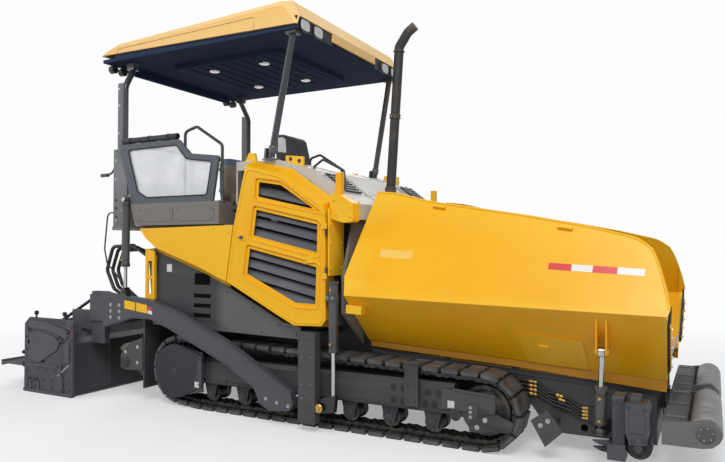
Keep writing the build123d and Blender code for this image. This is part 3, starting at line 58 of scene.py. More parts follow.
# ---------------------------------------------------------------- hopper wings
# Two folding side walls of bent steel plate, hinged along the chassis. Each is welded from
# rolled sheet with a stiff front rim, and sprayed in the maker's gloss yellow.
def new_material(name):
    """A material with its shader node, ready for textures."""
    material = bpy.data.materials.new(name)
    material.use_nodes = True
    shader = material.node_tree.nodes["Principled BSDF"]
    return material, material.node_tree, shader


def noise_node(tree, scale, detail, stretch=(1, 1, 1)):
    """Noise in the object's own metres, stretched along an axis if need be."""
    place = tree.nodes.new("ShaderNodeTexCoord")
    mapping = tree.nodes.new("ShaderNodeMapping")
    mapping.inputs["Scale"].default_value = stretch
    tree.links.new(place.outputs["Object"], mapping.inputs["Vector"])
    texture = tree.nodes.new("ShaderNodeTexNoise")
    texture.inputs["Scale"].default_value = scale
    texture.inputs["Detail"].default_value = detail
    tree.links.new(mapping.outputs["Vector"], texture.inputs["Vector"])
    return texture.outputs["Fac"]


def ramp_node(tree, fac, stops):
    """Colours along a factor: stops are (place, (r, g, b))."""
    ramp = tree.nodes.new("ShaderNodeValToRGB")
    points = ramp.color_ramp.elements
    while len(points) < len(stops):
        points.new(0.5)
    for point, (place, colour) in zip(points, stops):
        point.position = place
        point.color = (*colour, 1)
    tree.links.new(fac, ramp.inputs["Fac"])
    return ramp.outputs["Color"]


def range_node(tree, fac, low=0, high=1, start=0, end=1):
    """Maps a factor from low..high to start..end, and holds it at both ends."""
    spread = tree.nodes.new("ShaderNodeMapRange")
    for socket, number in (("From Min", low), ("From Max", high), ("To Min", start), ("To Max", end)):
        spread.inputs[socket].default_value = number
    tree.links.new(fac, spread.inputs["Value"])
    return spread.outputs["Result"]


def bump_node(tree, shader, fac, strength, distance):
    """Relief from a factor."""
    bump = tree.nodes.new("ShaderNodeBump")
    bump.inputs["Strength"].default_value = strength
    bump.inputs["Distance"].default_value = distance
    tree.links.new(fac, bump.inputs["Height"])
    tree.links.new(bump.outputs["Normal"], shader.inputs["Normal"])


def edge_wear(tree):
    """A factor that is high on sharp outer edges, where paint rubs thin."""
    geometry = tree.nodes.new("ShaderNodeNewGeometry")
    return range_node(tree, geometry.outputs["Pointiness"], 0.52, 0.60)


def blend_colours(tree, fac, first, second):
    """Two colours mixed by a factor: each is a socket or (r, g, b)."""
    mix = tree.nodes.new("ShaderNodeMix")
    mix.data_type = "RGBA"
    tree.links.new(fac, mix.inputs["Factor"])
    for socket, value in ((mix.inputs[6], first), (mix.inputs[7], second)):
        if isinstance(value, tuple):
            socket.default_value = (*value, 1)
        else:
            tree.links.new(value, socket)
    return mix.outputs[2]


def sprayed_paint(name, low, high, roughness, wear, peel=0.05, coat=0.0, dust=None, shine=0.5):
    """Sprayed paint: faint tone drift, fine orange peel, edges rubbed to another tone."""
    material, tree, shader = new_material(name)
    drift = noise_node(tree, 1.3, 3)
    colour = ramp_node(tree, drift, [(0.35, low), (0.65, high)])
    colour = blend_colours(tree, edge_wear(tree), colour, wear)
    if dust:
        film = range_node(tree, noise_node(tree, 3.1, 8, (1, 1, 2.2)), 0.55, 0.80, 0, 0.45)
        colour = blend_colours(tree, film, colour, dust)
    tree.links.new(colour, shader.inputs["Base Color"])
    gloss = range_node(tree, noise_node(tree, 6.0, 6), 0, 1, roughness - 0.07, roughness + 0.09)
    tree.links.new(gloss, shader.inputs["Roughness"])
    bump_node(tree, shader, noise_node(tree, 260, 2), peel, 0.0006)
    shader.inputs["Coat Weight"].default_value = coat
    shader.inputs["Coat Roughness"].default_value = 0.12
    shader.inputs["Specular IOR Level"].default_value = shine
    return material


def paint_node(names, material):
    """Gives CAD nodes a finish."""
    for name in names:
        thing = frame["nodes"][name]
        thing.data.materials.clear()
        thing.data.materials.append(material)


yellow = sprayed_paint("yellow gloss paint", (0.91, 0.425, 0.001), (0.95, 0.465, 0.002), 0.34,
                       (0.95, 0.54, 0.02), shine=0.32)
wing_yellow = sprayed_paint("wing paint", (0.92, 0.445, 0.001), (0.96, 0.485, 0.002), 0.34,
                            (0.95, 0.54, 0.02), shine=0.40)
paint_node(["hopper_wing_right", "hopper_wing_left"], wing_yellow)


# The hopper's own frame: x runs along the wing hinge, z is square to the conveyor floor.
hinge_start, hopper_tilt = Vector((0.850, 0, 0.710)), math.radians(3.2)
hopper_place = Matrix.Translation(hinge_start) @ Matrix.Rotation(hopper_tilt, 4, "Y")
hopper_turn = hopper_place.to_3x3()


def painted_shade_along_foot(material, tone, height=0.052):
    """Painted shade on the wing's turned-down foot: its colour is darkened up to a height over the hinge
    line.
    """
    tree = material.node_tree
    colour = tree.nodes["Principled BSDF"].inputs["Base Color"]
    unshaded_colour = colour.links[0].from_socket
    up = Vector((math.sin(hopper_tilt), 0, math.cos(hopper_tilt)))
    place = tree.nodes.new("ShaderNodeTexCoord")
    level = tree.nodes.new("ShaderNodeVectorMath")
    level.operation = "DOT_PRODUCT"
    level.inputs[1].default_value = up
    tree.links.new(place.outputs["Object"], level.inputs[0])
    edge = up.dot(hinge_start) + height
    foot_shade_mask = range_node(tree, level.outputs["Value"], edge, edge + 0.004, 1, 0)
    tree.links.new(blend_colours(tree, foot_shade_mask, unshaded_colour, tone), colour)


# painted shade: the wing's foot is painted at about half the paint's brightness
painted_shade_along_foot(wing_yellow, (0.46, 0.205, 0.002))


def link_mesh(name, mesh, material, body):
    """Puts a finished mesh in the scene as a piece that rides on a body."""
    thing = bpy.data.objects.new(name, mesh)
    bpy.context.scene.collection.objects.link(thing)
    thing.data.materials.append(material)
    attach(thing, body)
    return thing


def mesh_from(shape, name, smooth_deg=35):
    """Turns a bmesh into a mesh with its flat faces kept crisp and its curves smooth."""
    bmesh.ops.recalc_face_normals(shape, faces=shape.faces)
    mesh = bpy.data.meshes.new(name)
    shape.to_mesh(mesh)
    shape.free()
    for face in mesh.polygons:
        face.use_smooth = True
    mesh.set_sharp_from_angle(angle=math.radians(smooth_deg))
    return mesh


def add_prism(shape, points, along, bevel=0.0, segments=2):
    """A bevelled plate: a flat outline of 3-D points pushed along a vector."""
    verts = [shape.verts.new(p) for p in points]
    face = shape.faces.new(verts)
    grown = bmesh.ops.extrude_face_region(shape, geom=[face])
    moved = [v for v in grown["geom"] if isinstance(v, bmesh.types.BMVert)]
    bmesh.ops.translate(shape, verts=moved, vec=along)
    if bevel:
        edges = list(dict.fromkeys(e for v in verts + moved for e in v.link_edges))
        bmesh.ops.bevel(shape, geom=edges, offset=bevel, segments=segments, affect="EDGES",
                        clamp_overlap=True)


def add_block(shape, low, high, bevel=0.002, turn=None, segments=2):
    """A bevelled block between two corners, turned about its centre if need be."""
    low, high = Vector(low), Vector(high)
    middle, half = (low + high) / 2, (high - low) / 2
    part = bmesh.new()
    bmesh.ops.create_cube(part, size=2)
    bmesh.ops.scale(part, verts=part.verts, vec=half)
    if bevel:
        bmesh.ops.bevel(part, geom=part.edges[:], offset=bevel, segments=segments,
                        affect="EDGES", clamp_overlap=True)
    place = Matrix.Translation(middle) @ (turn or Matrix.Identity(4))
    bmesh.ops.transform(part, matrix=place, verts=part.verts)
    join_into(shape, part)


def join_into(shape, part):
    """Copies one bmesh into another."""
    copies = {v: shape.verts.new(v.co) for v in part.verts}
    for face in part.faces:
        shape.faces.new([copies[v] for v in face.verts])
    part.free()


def add_turned(shape, start, end, profile, sides=16):
    """A turned piece from start to end: profile is (share of the way, radius)."""
    start, end = Vector(start), Vector(end)
    axis = (end - start)
    length = axis.length
    turn = axis.to_track_quat("Z", "Y").to_matrix()
    rings = []
    for share, radius in profile:
        ring = []
        for k in range(sides):
            angle = 2 * math.pi * k / sides
            spot = Vector((radius * math.cos(angle), radius * math.sin(angle), share * length))
            ring.append(shape.verts.new(start + turn @ spot))
        rings.append(ring)
    for below, above in zip(rings, rings[1:]):
        for k in range(sides):
            shape.faces.new((below[k], below[(k + 1) % sides], above[(k + 1) % sides], above[k]))
    shape.faces.new(list(reversed(rings[0])))
    shape.faces.new(rings[-1])


def capped(radius, rim, share=0.7):
    """The profile of a disc that narrows to its rim over the last of its height."""
    return [(0, radius), (share, radius), (1, rim)]


def collar(radius, edge, share=0.1):
    """The profile of a ring with both its edges chamfered."""
    return [(0, edge), (share, radius), (1 - share, radius), (1, edge)]


def add_bolt(shape, place, outward, radius=0.010, head=0.008, washer=True):
    """A hexagon head bolt on a washer, pushed 1 mm into its seat."""
    place, outward = Vector(place), Vector(outward).normalized()
    base = place - outward * 0.001
    if washer:
        add_turned(shape, base, place + outward * 0.0025,
                   [(0, radius * 1.55), (0.8, radius * 1.55), (1, radius * 1.45)], 14)
    add_turned(shape, base, place + outward * (head + 0.0025),
               [(0, radius), (0.82, radius), (1, radius * 0.86)], 6)


def side_plate(shape, y, outline, out, bevel=0.0, segments=2):
    """A plate on the right side's face at y: outline is (x, z), pushed outward."""
    add_prism(shape, [(x, y, z) for x, z in outline], Vector((0, -out, 0)), bevel, segments)


def side_bar(shape, y, x0, x1, z0, z1, out, bevel=0.0, segments=2):
    """An upright oblong plate on the right side's face at y."""
    side_plate(shape, y, [(x0, z0), (x1, z0), (x1, z1), (x0, z1)], out, bevel, segments)


def side_disc(shape, x, z, inner, outer, profile, sides):
    """A turned piece that faces outward on the right side, from y inner to y outer."""
    add_turned(shape, (x, inner, z), (x, outer, z), profile, sides)


def side_bolts(shape, y, spots, radius, head=0.008, washer=True):
    """Bolts that face outward on the right side: spots are (x, z)."""
    for x, z in spots:
        add_bolt(shape, (x, y, z), (0, -1, 0), radius, head, washer)


def pair_mesh(name, mesh, material, body):
    """A mesh for the right side and its twin for the left: body is one name, or a stem for both."""
    right_body, left_body = (body, body) if body in frame["bodies"] else (body + "_right", body + "_left")
    twin = mesh.copy()
    twin.name = name + "_left"
    twin.transform(Matrix.Scale(-1, 4, (0, 1, 0)))
    twin.flip_normals()
    right_piece = link_mesh(name + "_right", mesh, material, right_body)
    link_mesh(name + "_left", twin, material, left_body)
    return right_piece


def pair(name, shape, material, body, smooth_deg=35):
    """A shape built for the right side, as a piece there and a twin on the left."""
    pair_mesh(name, mesh_from(shape, name + "_right", smooth_deg), material, body)


def link_shape(name, shape, material, body, smooth_deg=35):
    """A shape built in place, as one piece."""
    link_mesh(name, mesh_from(shape, name, smooth_deg), material, body)


hinge_y, fold_y, foot_width = -0.770, -1.265, 0.495


def wing_skin(x, z, out=0.0):
    """A point on the right wing's outer face at a height, moved outward by out."""
    bend = 0.469 + 0.082 * x / 2.415
    if z <= bend:
        slope = math.atan2(bend, foot_width)
        y = hinge_y - z / math.tan(slope)
        normal = Vector((0, -math.sin(slope), -math.cos(slope)))
    else:
        top_y = fold_y + 0.9 * math.tan(math.radians(26))
        lean = math.atan2(top_y - fold_y, 1.4 - bend)
        y = fold_y + (z - bend) * math.tan(lean)
        normal = Vector((0, -math.cos(lean), math.sin(lean)))
    return hopper_place @ (Vector((x, y, z)) + normal * out)


def skin_patch(shape, corners, thick, steps):
    """A thin patch laid on the wing's outer face: corners are four (x, z)."""
    (x0, z0), (x1, z1), (x2, z2), (x3, z3) = corners
    grid = []
    for i in range(steps[0] + 1):
        u = i / steps[0]
        column = []
        for j in range(steps[1] + 1):
            v = j / steps[1]
            low_x, low_z = x0 + (x1 - x0) * u, z0 + (z1 - z0) * u
            high_x, high_z = x3 + (x2 - x3) * u, z3 + (z2 - z3) * u
            x, z = low_x + (high_x - low_x) * v, low_z + (high_z - low_z) * v
            column.append((x, z))
        grid.append(column)
    outer = [[shape.verts.new(wing_skin(x, z, thick)) for x, z in column] for column in grid]
    inner = [[shape.verts.new(wing_skin(x, z, -0.001)) for x, z in column] for column in grid]
    for i in range(steps[0]):
        for j in range(steps[1]):
            shape.faces.new((outer[i][j], outer[i + 1][j], outer[i + 1][j + 1], outer[i][j + 1]))
            shape.faces.new((inner[i][j], inner[i][j + 1], inner[i + 1][j + 1], inner[i + 1][j]))
    rim = ([(i, 0) for i in range(steps[0])] + [(steps[0], j) for j in range(steps[1])]
           + [(i, steps[1]) for i in range(steps[0], 0, -1)] + [(0, j) for j in range(steps[1], 0, -1)])
    for (a, b), (c, d) in zip(rim, rim[1:] + rim[:1]):
        shape.faces.new((inner[a][b], inner[c][d], outer[c][d], outer[a][b]))


# small welded hooks on the wing's top edge, a pad, a latch and a handle
fittings = bmesh.new()
for x0, x1, z in ((0.585, 0.695, 1.276), (1.625, 1.735, 1.145)):
    points = [wing_skin(x0, z - 0.040, 0.0), wing_skin(x1, z - 0.052, 0.0),
              wing_skin(x1, z - 0.052, 0.030), wing_skin(x0, z - 0.040, 0.030)]
    add_prism(fittings, points, hopper_turn @ Vector((0, 0.012, 0.024)), 0.003)
skin_patch(fittings, [(1.53, 0.195), (1.60, 0.195), (1.60, 0.225), (1.53, 0.225)], 0.022, (1, 1))
for x in (0.03, 0.085):
    points = [Vector((x - 0.009, y, z)) for y, z in
              ((-1.118, 0.315), (-1.150, 0.325), (-1.158, 0.360), (-1.140, 0.392), (-1.112, 0.392))]
    add_prism(fittings, [hopper_place @ p for p in points],
              hopper_turn @ Vector((0.018, 0, 0)), 0.003)
start, end = (hopper_place @ Vector((x, -1.138, 0.356)) for x in (-0.02, 0.115))
add_turned(fittings, start, end, collar(0.013, 0.011, 0.02))
pair("wing_fittings", fittings, yellow, "wing")

# the rolled lip along the top edge and down the front of each wing
rim_line = [(0.030, 1.360), (0.225, 1.352), (0.539, 1.286), (1.395, 1.193), (1.846, 1.129),
            (2.177, 1.065), (2.285, 0.999), (2.338, 0.889), (2.396, 0.720), (2.425, 0.600)]


def add_rope(shape, points, radius, sides=8):
    """A round bead that follows points, mitred at its corners."""
    rings = []
    for k, spot in enumerate(points):
        ahead = points[min(k + 1, len(points) - 1)] - points[max(k - 1, 0)]
        turn = ahead.to_track_quat("Z", "Y").to_matrix()
        rings.append([shape.verts.new(spot + turn @ Vector((radius * math.cos(a),
                                                            radius * math.sin(a), 0)))
                      for a in (2 * math.pi * s / sides for s in range(sides))])
    for below, above in zip(rings, rings[1:]):
        for k in range(sides):
            shape.faces.new((below[k], below[(k + 1) % sides], above[(k + 1) % sides], above[k]))
    shape.faces.new(list(reversed(rings[0])))
    shape.faces.new(rings[-1])


def eased(points, radius, steps=5):
    """The same route with each corner rounded into a short arc."""
    points = [Vector(p) for p in points]
    out = [points[0]]
    for before, here, after in zip(points, points[1:], points[2:]):
        back, ahead = before - here, after - here
        reach = min(radius, back.length * 0.45, ahead.length * 0.45)
        a, b = here + back.normalized() * reach, here + ahead.normalized() * reach
        for k in range(steps + 1):
            t = k / steps
            out.append(a * (1 - t) ** 2 + here * 2 * t * (1 - t) + b * t ** 2)
    return out + [points[-1]]


rim = bmesh.new()
add_rope(rim, eased([wing_skin(x, z, -0.004) for x, z in rim_line], 0.12), 0.011)
add_rope(rim, [wing_skin(2.405, z, -0.006) for z in (0.540, 0.30, 0.06)], 0.010)
pair("wing_rim", rim, yellow, "wing", 60)


# the bare pale plate at the wing's rear, and reflective tape in red and white
def reflective_tape(name, dark, light):
    """Tape with fine cells under its clear face."""
    material, tree, shader = new_material(name)
    cells = tree.nodes.new("ShaderNodeTexVoronoi")
    cells.inputs["Scale"].default_value = 240
    tree.links.new(ramp_node(tree, cells.outputs["Distance"], [(0.2, dark), (0.7, light)]),
                   shader.inputs["Base Color"])
    bump_node(tree, shader, cells.outputs["Distance"], 0.2, 0.0004)
    shader.inputs["Roughness"].default_value = 0.28
    return material


tape_red = reflective_tape("red reflective tape", (0.62, 0.015, 0.02), (0.74, 0.05, 0.05))
tape_white = reflective_tape("white reflective tape", (0.72, 0.72, 0.70), (0.86, 0.86, 0.84))
bare_plate = bmesh.new()
skin_patch(bare_plate, [(0.205, 0.800), (0.500, 0.800), (0.500, 0.868), (0.205, 0.868)], 0.0015,
           (3, 1))
plate_yellow = sprayed_paint("bare plate", (0.92, 0.50, 0.030), (0.94, 0.53, 0.045), 0.42,
                             (0.95, 0.58, 0.12), shine=0.3)
pair("wing_plate", bare_plate, plate_yellow, "wing")
tape_x = (1.600, 1.765, 1.912, 2.078, 2.255)
for k, (x0, x1) in enumerate(zip(tape_x, tape_x[1:])):
    strip = bmesh.new()
    skin_patch(strip, [(x0, 0.803), (x1, 0.803), (x1, 0.850), (x0, 0.850)], 0.0015, (3, 1))
    pair(f"tape_{k + 1}", strip, tape_white if k % 2 else tape_red, "wing")


# ---------------------------------------------------------------- wing flaps
# Thick rubber flaps that keep the mix in at the front edge of each wing. They are clamped
# under flat steel bars with a row of bolts.
def rubber(name, tone, gloss=0.62, grain=60.0, dust=None):
    """Black rubber: greyed by dust in the hollows, with a fine grain."""
    material, tree, shader = new_material(name)
    cloud = noise_node(tree, 7.0, 6)
    light = dust or tuple(c * 1.7 + 0.004 for c in tone)
    tree.links.new(ramp_node(tree, cloud, [(0.38, tone), (0.72, light)]),
                   shader.inputs["Base Color"])
    bump_node(tree, shader, noise_node(tree, grain, 5), 0.18, 0.001)
    shader.inputs["Roughness"].default_value = gloss
    return material


def steel(name, dark, light, roughness, scale=18.0, stretch=(1, 1, 1), metallic=0.85):
    """Bare steel: scoured in one direction, duller where it holds dirt."""
    material, tree, shader = new_material(name)
    scour = noise_node(tree, scale, 8, stretch)
    tree.links.new(ramp_node(tree, scour, [(0.35, dark), (0.65, light)]),
                   shader.inputs["Base Color"])
    polish = range_node(tree, noise_node(tree, scale * 0.6, 5), 0, 1, roughness - 0.10,
                        roughness + 0.15)
    tree.links.new(polish, shader.inputs["Roughness"])
    bump_node(tree, shader, scour, 0.10, 0.0008)
    shader.inputs["Metallic"].default_value = metallic
    return material


def mottled(name, tones, grain, roughness):
    """A plain finish: tones are (scale, detail, stops), grain (scale, detail, strength, depth)."""
    material, tree, shader = new_material(name)
    scale, detail, stops = tones
    tree.links.new(ramp_node(tree, noise_node(tree, scale, detail), stops),
                   shader.inputs["Base Color"])
    scale, detail, strength, depth = grain
    bump_node(tree, shader, noise_node(tree, scale, detail), strength, depth)
    shader.inputs["Roughness"].default_value = roughness
    return material


black_rubber = rubber("black rubber", (0.012, 0.012, 0.013))
paint_node(["wing_flap_right", "wing_flap_left"], black_rubber)
zinc = steel("zinc plated bolts", (0.34, 0.33, 0.31), (0.58, 0.57, 0.54), 0.36, 90.0)

low_slope = math.atan2(0.551, foot_width)


def flap_point(x, t, depth):
    """A point on the wing's front edge, t along the lower slope from the hinge."""
    return hopper_place @ Vector((x, hinge_y - t * math.cos(low_slope) + depth * math.sin(low_slope),
                                  t * math.sin(low_slope) + depth * math.cos(low_slope)))


clamp, flap_bolts = bmesh.new(), bmesh.new()
forward = hopper_turn @ Vector((1, 0, 0))
flap_face, clamp_face = 2.4318, 2.4398
corners = [flap_point(flap_face, t, d) for t, d in ((0.165, 0.008), (0.625, 0.008),
                                                    (0.625, 0.050), (0.165, 0.050))]
add_prism(clamp, corners, forward * 0.008, 0.002)
for t in (0.20, 0.30, 0.40, 0.50, 0.59):
    add_bolt(flap_bolts, flap_point(clamp_face, t, 0.029), forward, 0.009)
pair("flap_clamp", clamp, yellow, "wing")
pair("flap_bolts", flap_bolts, zinc, "wing")
ribs = bmesh.new()
for t in (0.19, 0.34, 0.49):
    corners = [flap_point(flap_face, t + a, d) for a, d in ((0, 0.06), (0.05, 0.062),
                                                            (0.05, 0.11), (0, 0.088))]
    add_prism(ribs, corners, forward * 0.006, 0.0025)
pair("flap_ribs", ribs, black_rubber, "wing")


# ---------------------------------------------------------------- conveyor and bulkhead
# The hopper floor is scoured steel plate under two slat conveyors, closed at the rear by a
# dark painted bulkhead. Mix has polished the slats and left a film on the plate.
floor_steel = steel("scoured floor plate", (0.10, 0.095, 0.09), (0.24, 0.23, 0.21), 0.45, 9.0,
                    (0.25, 3, 3))
slat_steel = steel("slat steel", (0.16, 0.15, 0.14), (0.36, 0.34, 0.31), 0.38, 30.0)
bulkhead_paint = sprayed_paint("bulkhead paint", (0.035, 0.037, 0.040), (0.055, 0.056, 0.058),
                               0.55, (0.16, 0.15, 0.13), dust=(0.13, 0.12, 0.10))
paint_node(["conveyor_deck"], floor_steel)
paint_node(["conveyor_chains"], slat_steel)
paint_node(["hopper_bulkhead"], bulkhead_paint)
apron_paint = sprayed_paint("apron paint", (0.27, 0.265, 0.25), (0.36, 0.35, 0.33), 0.55,
                            (0.45, 0.43, 0.40), dust=(0.42, 0.39, 0.34))
paint_node(["front_apron"], apron_paint)

links = bmesh.new()
for side in (-1, 1):
    for y in (0.110, 0.560):
        for k in range(42):
            x = 0.045 + k * 0.0525
            half = 0.021 if k % 2 else 0.013
            low = Vector((x, side * y - half, -0.0385))
            high = Vector((x + 0.047, side * y + half, -0.0335))
            add_block(links, low, high, 0.002, segments=1)
bmesh.ops.transform(links, matrix=hopper_place, verts=links.verts)
link_shape("chain_links", links, slat_steel, "chassis")

stays, stay_bolts = bmesh.new(), bmesh.new()
for y in (-0.72, 0.0, 0.72):
    add_prism(stays, [(0.775, y - 0.03, 1.06), (0.775, y + 0.03, 1.06), (0.775, y + 0.03, 1.93),
                      (0.775, y - 0.03, 1.93)], Vector((0.022, 0, 0)), 0.004)
for z0, z1 in ((1.04, 1.10), (1.88, 1.94)):
    reach = 0.84 if z1 > 1.5 else 1.02
    add_prism(stays, [(0.7745, -reach, z0), (0.7745, reach, z0), (0.7745, reach, z1),
                      (0.7745, -reach, z1)], Vector((0.015, 0, 0)), 0.004)
for y in (-0.6, -0.45, -0.3, -0.15, 0.15, 0.3, 0.45, 0.6):
    for z in (1.07, 1.91):
        add_bolt(stay_bolts, (0.7895, y, z), (1, 0, 0), 0.009)
link_shape("bulkhead_stays", stays, bulkhead_paint, "chassis")
link_shape("bulkhead_bolts", stay_bolts, zinc, "chassis")


# ---------------------------------------------------------------- wing hinges and cylinders
# Each wing turns on welded knuckles along the chassis and is folded by a hydraulic cylinder:
# a black barrel on a pinned foot, with a hard-chromed rod.
frame_paint = sprayed_paint("black frame paint", (0.018, 0.019, 0.023), (0.027, 0.028, 0.033),
                            0.44, (0.075, 0.075, 0.078), dust=(0.044, 0.042, 0.041), shine=0.28)
black_gloss = sprayed_paint("black cylinder paint", (0.010, 0.010, 0.011), (0.018, 0.018, 0.02),
                            0.30, (0.08, 0.08, 0.08), coat=0.2)
# near-black matte paint for slots and recesses: painted shadow that stands in for the shade inside them
painted_shadow_black = sprayed_paint("painted slot shadow", (0.0015, 0.0015, 0.002), (0.003, 0.003, 0.004), 0.85,
                           (0.006, 0.006, 0.007), shine=0.03)
paint_node(["wing_mountings"], frame_paint)
paint_node(["wing_barrel_right", "wing_barrel_left"], black_gloss)
chrome = steel("hard chrome", (0.44, 0.45, 0.46), (0.54, 0.55, 0.56), 0.22, 14.0, (3, 3, 0.3), 1.0)
paint_node(["wing_rod_right", "wing_rod_left"], chrome)

gland, ports = bmesh.new(), bmesh.new()
foot, eye = Vector((2.000, -0.990, -0.345)), Vector((2.000, -1.105, 0.245))
way = (eye - foot).normalized()
for start, end in ((0.285, 0.333), (0.062, 0.085)):
    add_turned(gland, foot + way * start, foot + way * end, collar(0.0475, 0.0455, 0.08), 28)
for reach in (0.10, 0.27):
    spot = foot + way * reach
    out = Vector((0, -1, -0.19)).normalized()
    add_turned(ports, spot + out * 0.040, spot + out * 0.062, [(0, 0.012), (1, 0.012)], 6)
for piece in (gland, ports):
    bmesh.ops.transform(piece, matrix=hopper_place, verts=piece.verts)
pair("wing_gland", gland, black_gloss, "wing_barrel")
brass = steel("brass fittings", (0.42, 0.27, 0.07), (0.62, 0.43, 0.14), 0.34, 70.0)
pair("wing_ports", ports, brass, "wing_barrel")


# ---------------------------------------------------------------- push beam and rollers
# A box-section beam across the nose that swings on a centre pin. Its two steel rollers push
# against a truck's rear tyres. Paint is dulled by road dust.
beam_grey = sprayed_paint("dusty grey beam paint", (0.042, 0.043, 0.047), (0.064, 0.064, 0.067),
                          0.52, (0.15, 0.148, 0.145), dust=(0.125, 0.120, 0.112), shine=0.4)
paint_node(["push_beam"], beam_grey)
roller_steel = steel("roller steel", (0.17, 0.168, 0.165), (0.36, 0.355, 0.35), 0.48, 7.0,
                     (1, 6, 1), 0.25)
paint_node(["push_roller_right", "push_roller_left"], roller_steel)

caps, cap_bolts, bands = bmesh.new(), bmesh.new(), bmesh.new()
for y, out in ((-1.170, -1), (-0.124, 1)):
    centre = Vector((3.510, y, 0.368))
    add_turned(caps, centre - Vector((0, out * 0.001, 0)), centre + Vector((0, out * 0.014, 0)),
               capped(0.058, 0.052), 28)
    for k in range(6):
        angle = math.radians(60 * k + 15)
        spot = centre + Vector((0.042 * math.cos(angle), out * 0.014, 0.042 * math.sin(angle)))
        add_bolt(cap_bolts, spot, (0, out, 0), 0.0055, 0.005, washer=False)
for y in (-1.05, -0.62, -0.20):
    add_block(bands, (3.262, y, 0.424), (3.385, y + 0.035, 0.433), 0.002)
for y in (-1.02, -0.60, -0.18):
    add_prism(bands, [(3.400, y, 0.27), (3.400, y, 0.42), (3.425, y, 0.36), (3.425, y, 0.30)],
              Vector((0, 0.014, 0)), 0.002)
pair("roller_caps", caps, beam_grey, "push_beam")
pair("roller_cap_bolts", cap_bolts, zinc, "push_beam")
pair("beam_bands", bands, beam_grey, "push_beam")


# ---------------------------------------------------------------- truck hooks
# Brackets on each side of the nose with a rubber roller that grips a truck's wheel rim. Cast
# and welded steel in dark paint, bolted to the frame.
dark_paint = sprayed_paint("dark grey paint", (0.022, 0.025, 0.033), (0.032, 0.035, 0.044), 0.42,
                           (0.085, 0.088, 0.096), dust=(0.052, 0.051, 0.052), shine=0.28)
paint_node(["truck_hooks"], dark_paint)
paint_node(["hook_rollers"], black_rubber)

hook_bolts, hook_plates = bmesh.new(), bmesh.new()
side_bolts(hook_bolts, -1.090, ((2.945, 0.50), (2.985, 0.50), (2.945, 0.26), (2.985, 0.26)), 0.009)
side_bolts(hook_bolts, -1.120, ((3.035, 0.47), (3.135, 0.47), (3.130, 0.26), (3.060, 0.245)), 0.010)
side_plate(hook_plates, -1.120, [(3.035, 0.30), (3.135, 0.30), (3.140, 0.43), (3.035, 0.43)], 0.007,
           0.003)
side_disc(hook_plates, 3.095, 0.196, -1.086, -1.124, capped(0.030, 0.026, 0.85), 20)
pair("hook_plates", hook_plates, dark_paint, "chassis")
pair("hook_bolts", hook_bolts, dark_paint, "chassis")


# ---------------------------------------------------------------- crawler tracks
# Each crawler is a chain of forged links with pins, closed into a loop. Flat steel shoes are
# bolted to it, each with a bonded road pad of black polyurethane.
rear_wheel, front_wheel, ramp_x = Vector((-1.140, 0.365)), Vector((1.980, 0.305)), -0.880
rear_reach, front_reach, shoe_total = 0.340, 0.305, 50
track_y, shoe_start = -0.955, 0.014


def track_route():
    """The loop's outer line, walked clockwise from the front wheel's lowest point."""
    ramp = Vector((ramp_x, 0))
    away = rear_wheel - ramp
    low = (math.atan2(-away.y, -away.x) - math.acos(rear_reach / away.length))
    span = front_wheel - rear_wheel
    top = (math.pi / 2 + math.atan2(span.y, span.x)
           - math.asin((rear_reach - front_reach) / span.length))

    def on(centre, radius, angle):
        return centre + Vector((math.cos(angle), math.sin(angle))) * radius

    points = [Vector((front_wheel.x, 0)), ramp]
    steps = 60
    for k in range(steps + 1):
        points.append(on(rear_wheel, rear_reach, low + (top - 2 * math.pi - low) * k / steps))
    for k in range(steps + 1):
        points.append(on(front_wheel, front_reach, top + (-math.pi / 2 - top) * k / steps))
    return points


route = track_route()
runs = [(b - a).length for a, b in zip(route, route[1:])]


def track_spot(distance):
    """The place on the loop, a distance along it."""
    distance %= sum(runs)
    for a, b, run in zip(route, route[1:], runs):
        if distance <= run and run > 1e-9:
            return a.lerp(b, distance / run)
        distance -= run
    return route[-1]


pitch = sum(runs) / shoe_total


def shoe_place(distance):
    """A frame on the loop: x along the shoe, y across the track, z inward."""
    a, b = track_spot(distance - pitch * 0.40), track_spot(distance + pitch * 0.40)
    along = (b - a).normalized()
    centre = track_spot(distance)
    chord = (a + b) / 2
    inward = Vector((along.y, -along.x))
    sag = max(0.0, (chord - centre).dot(inward))
    base = centre + inward * min(sag, 0.02)
    return Matrix(((along.x, 0, inward.x, base.x), (0, 1, 0, track_y),
                   (along.y, 0, inward.y, base.y), (0, 0, 0, 1)))


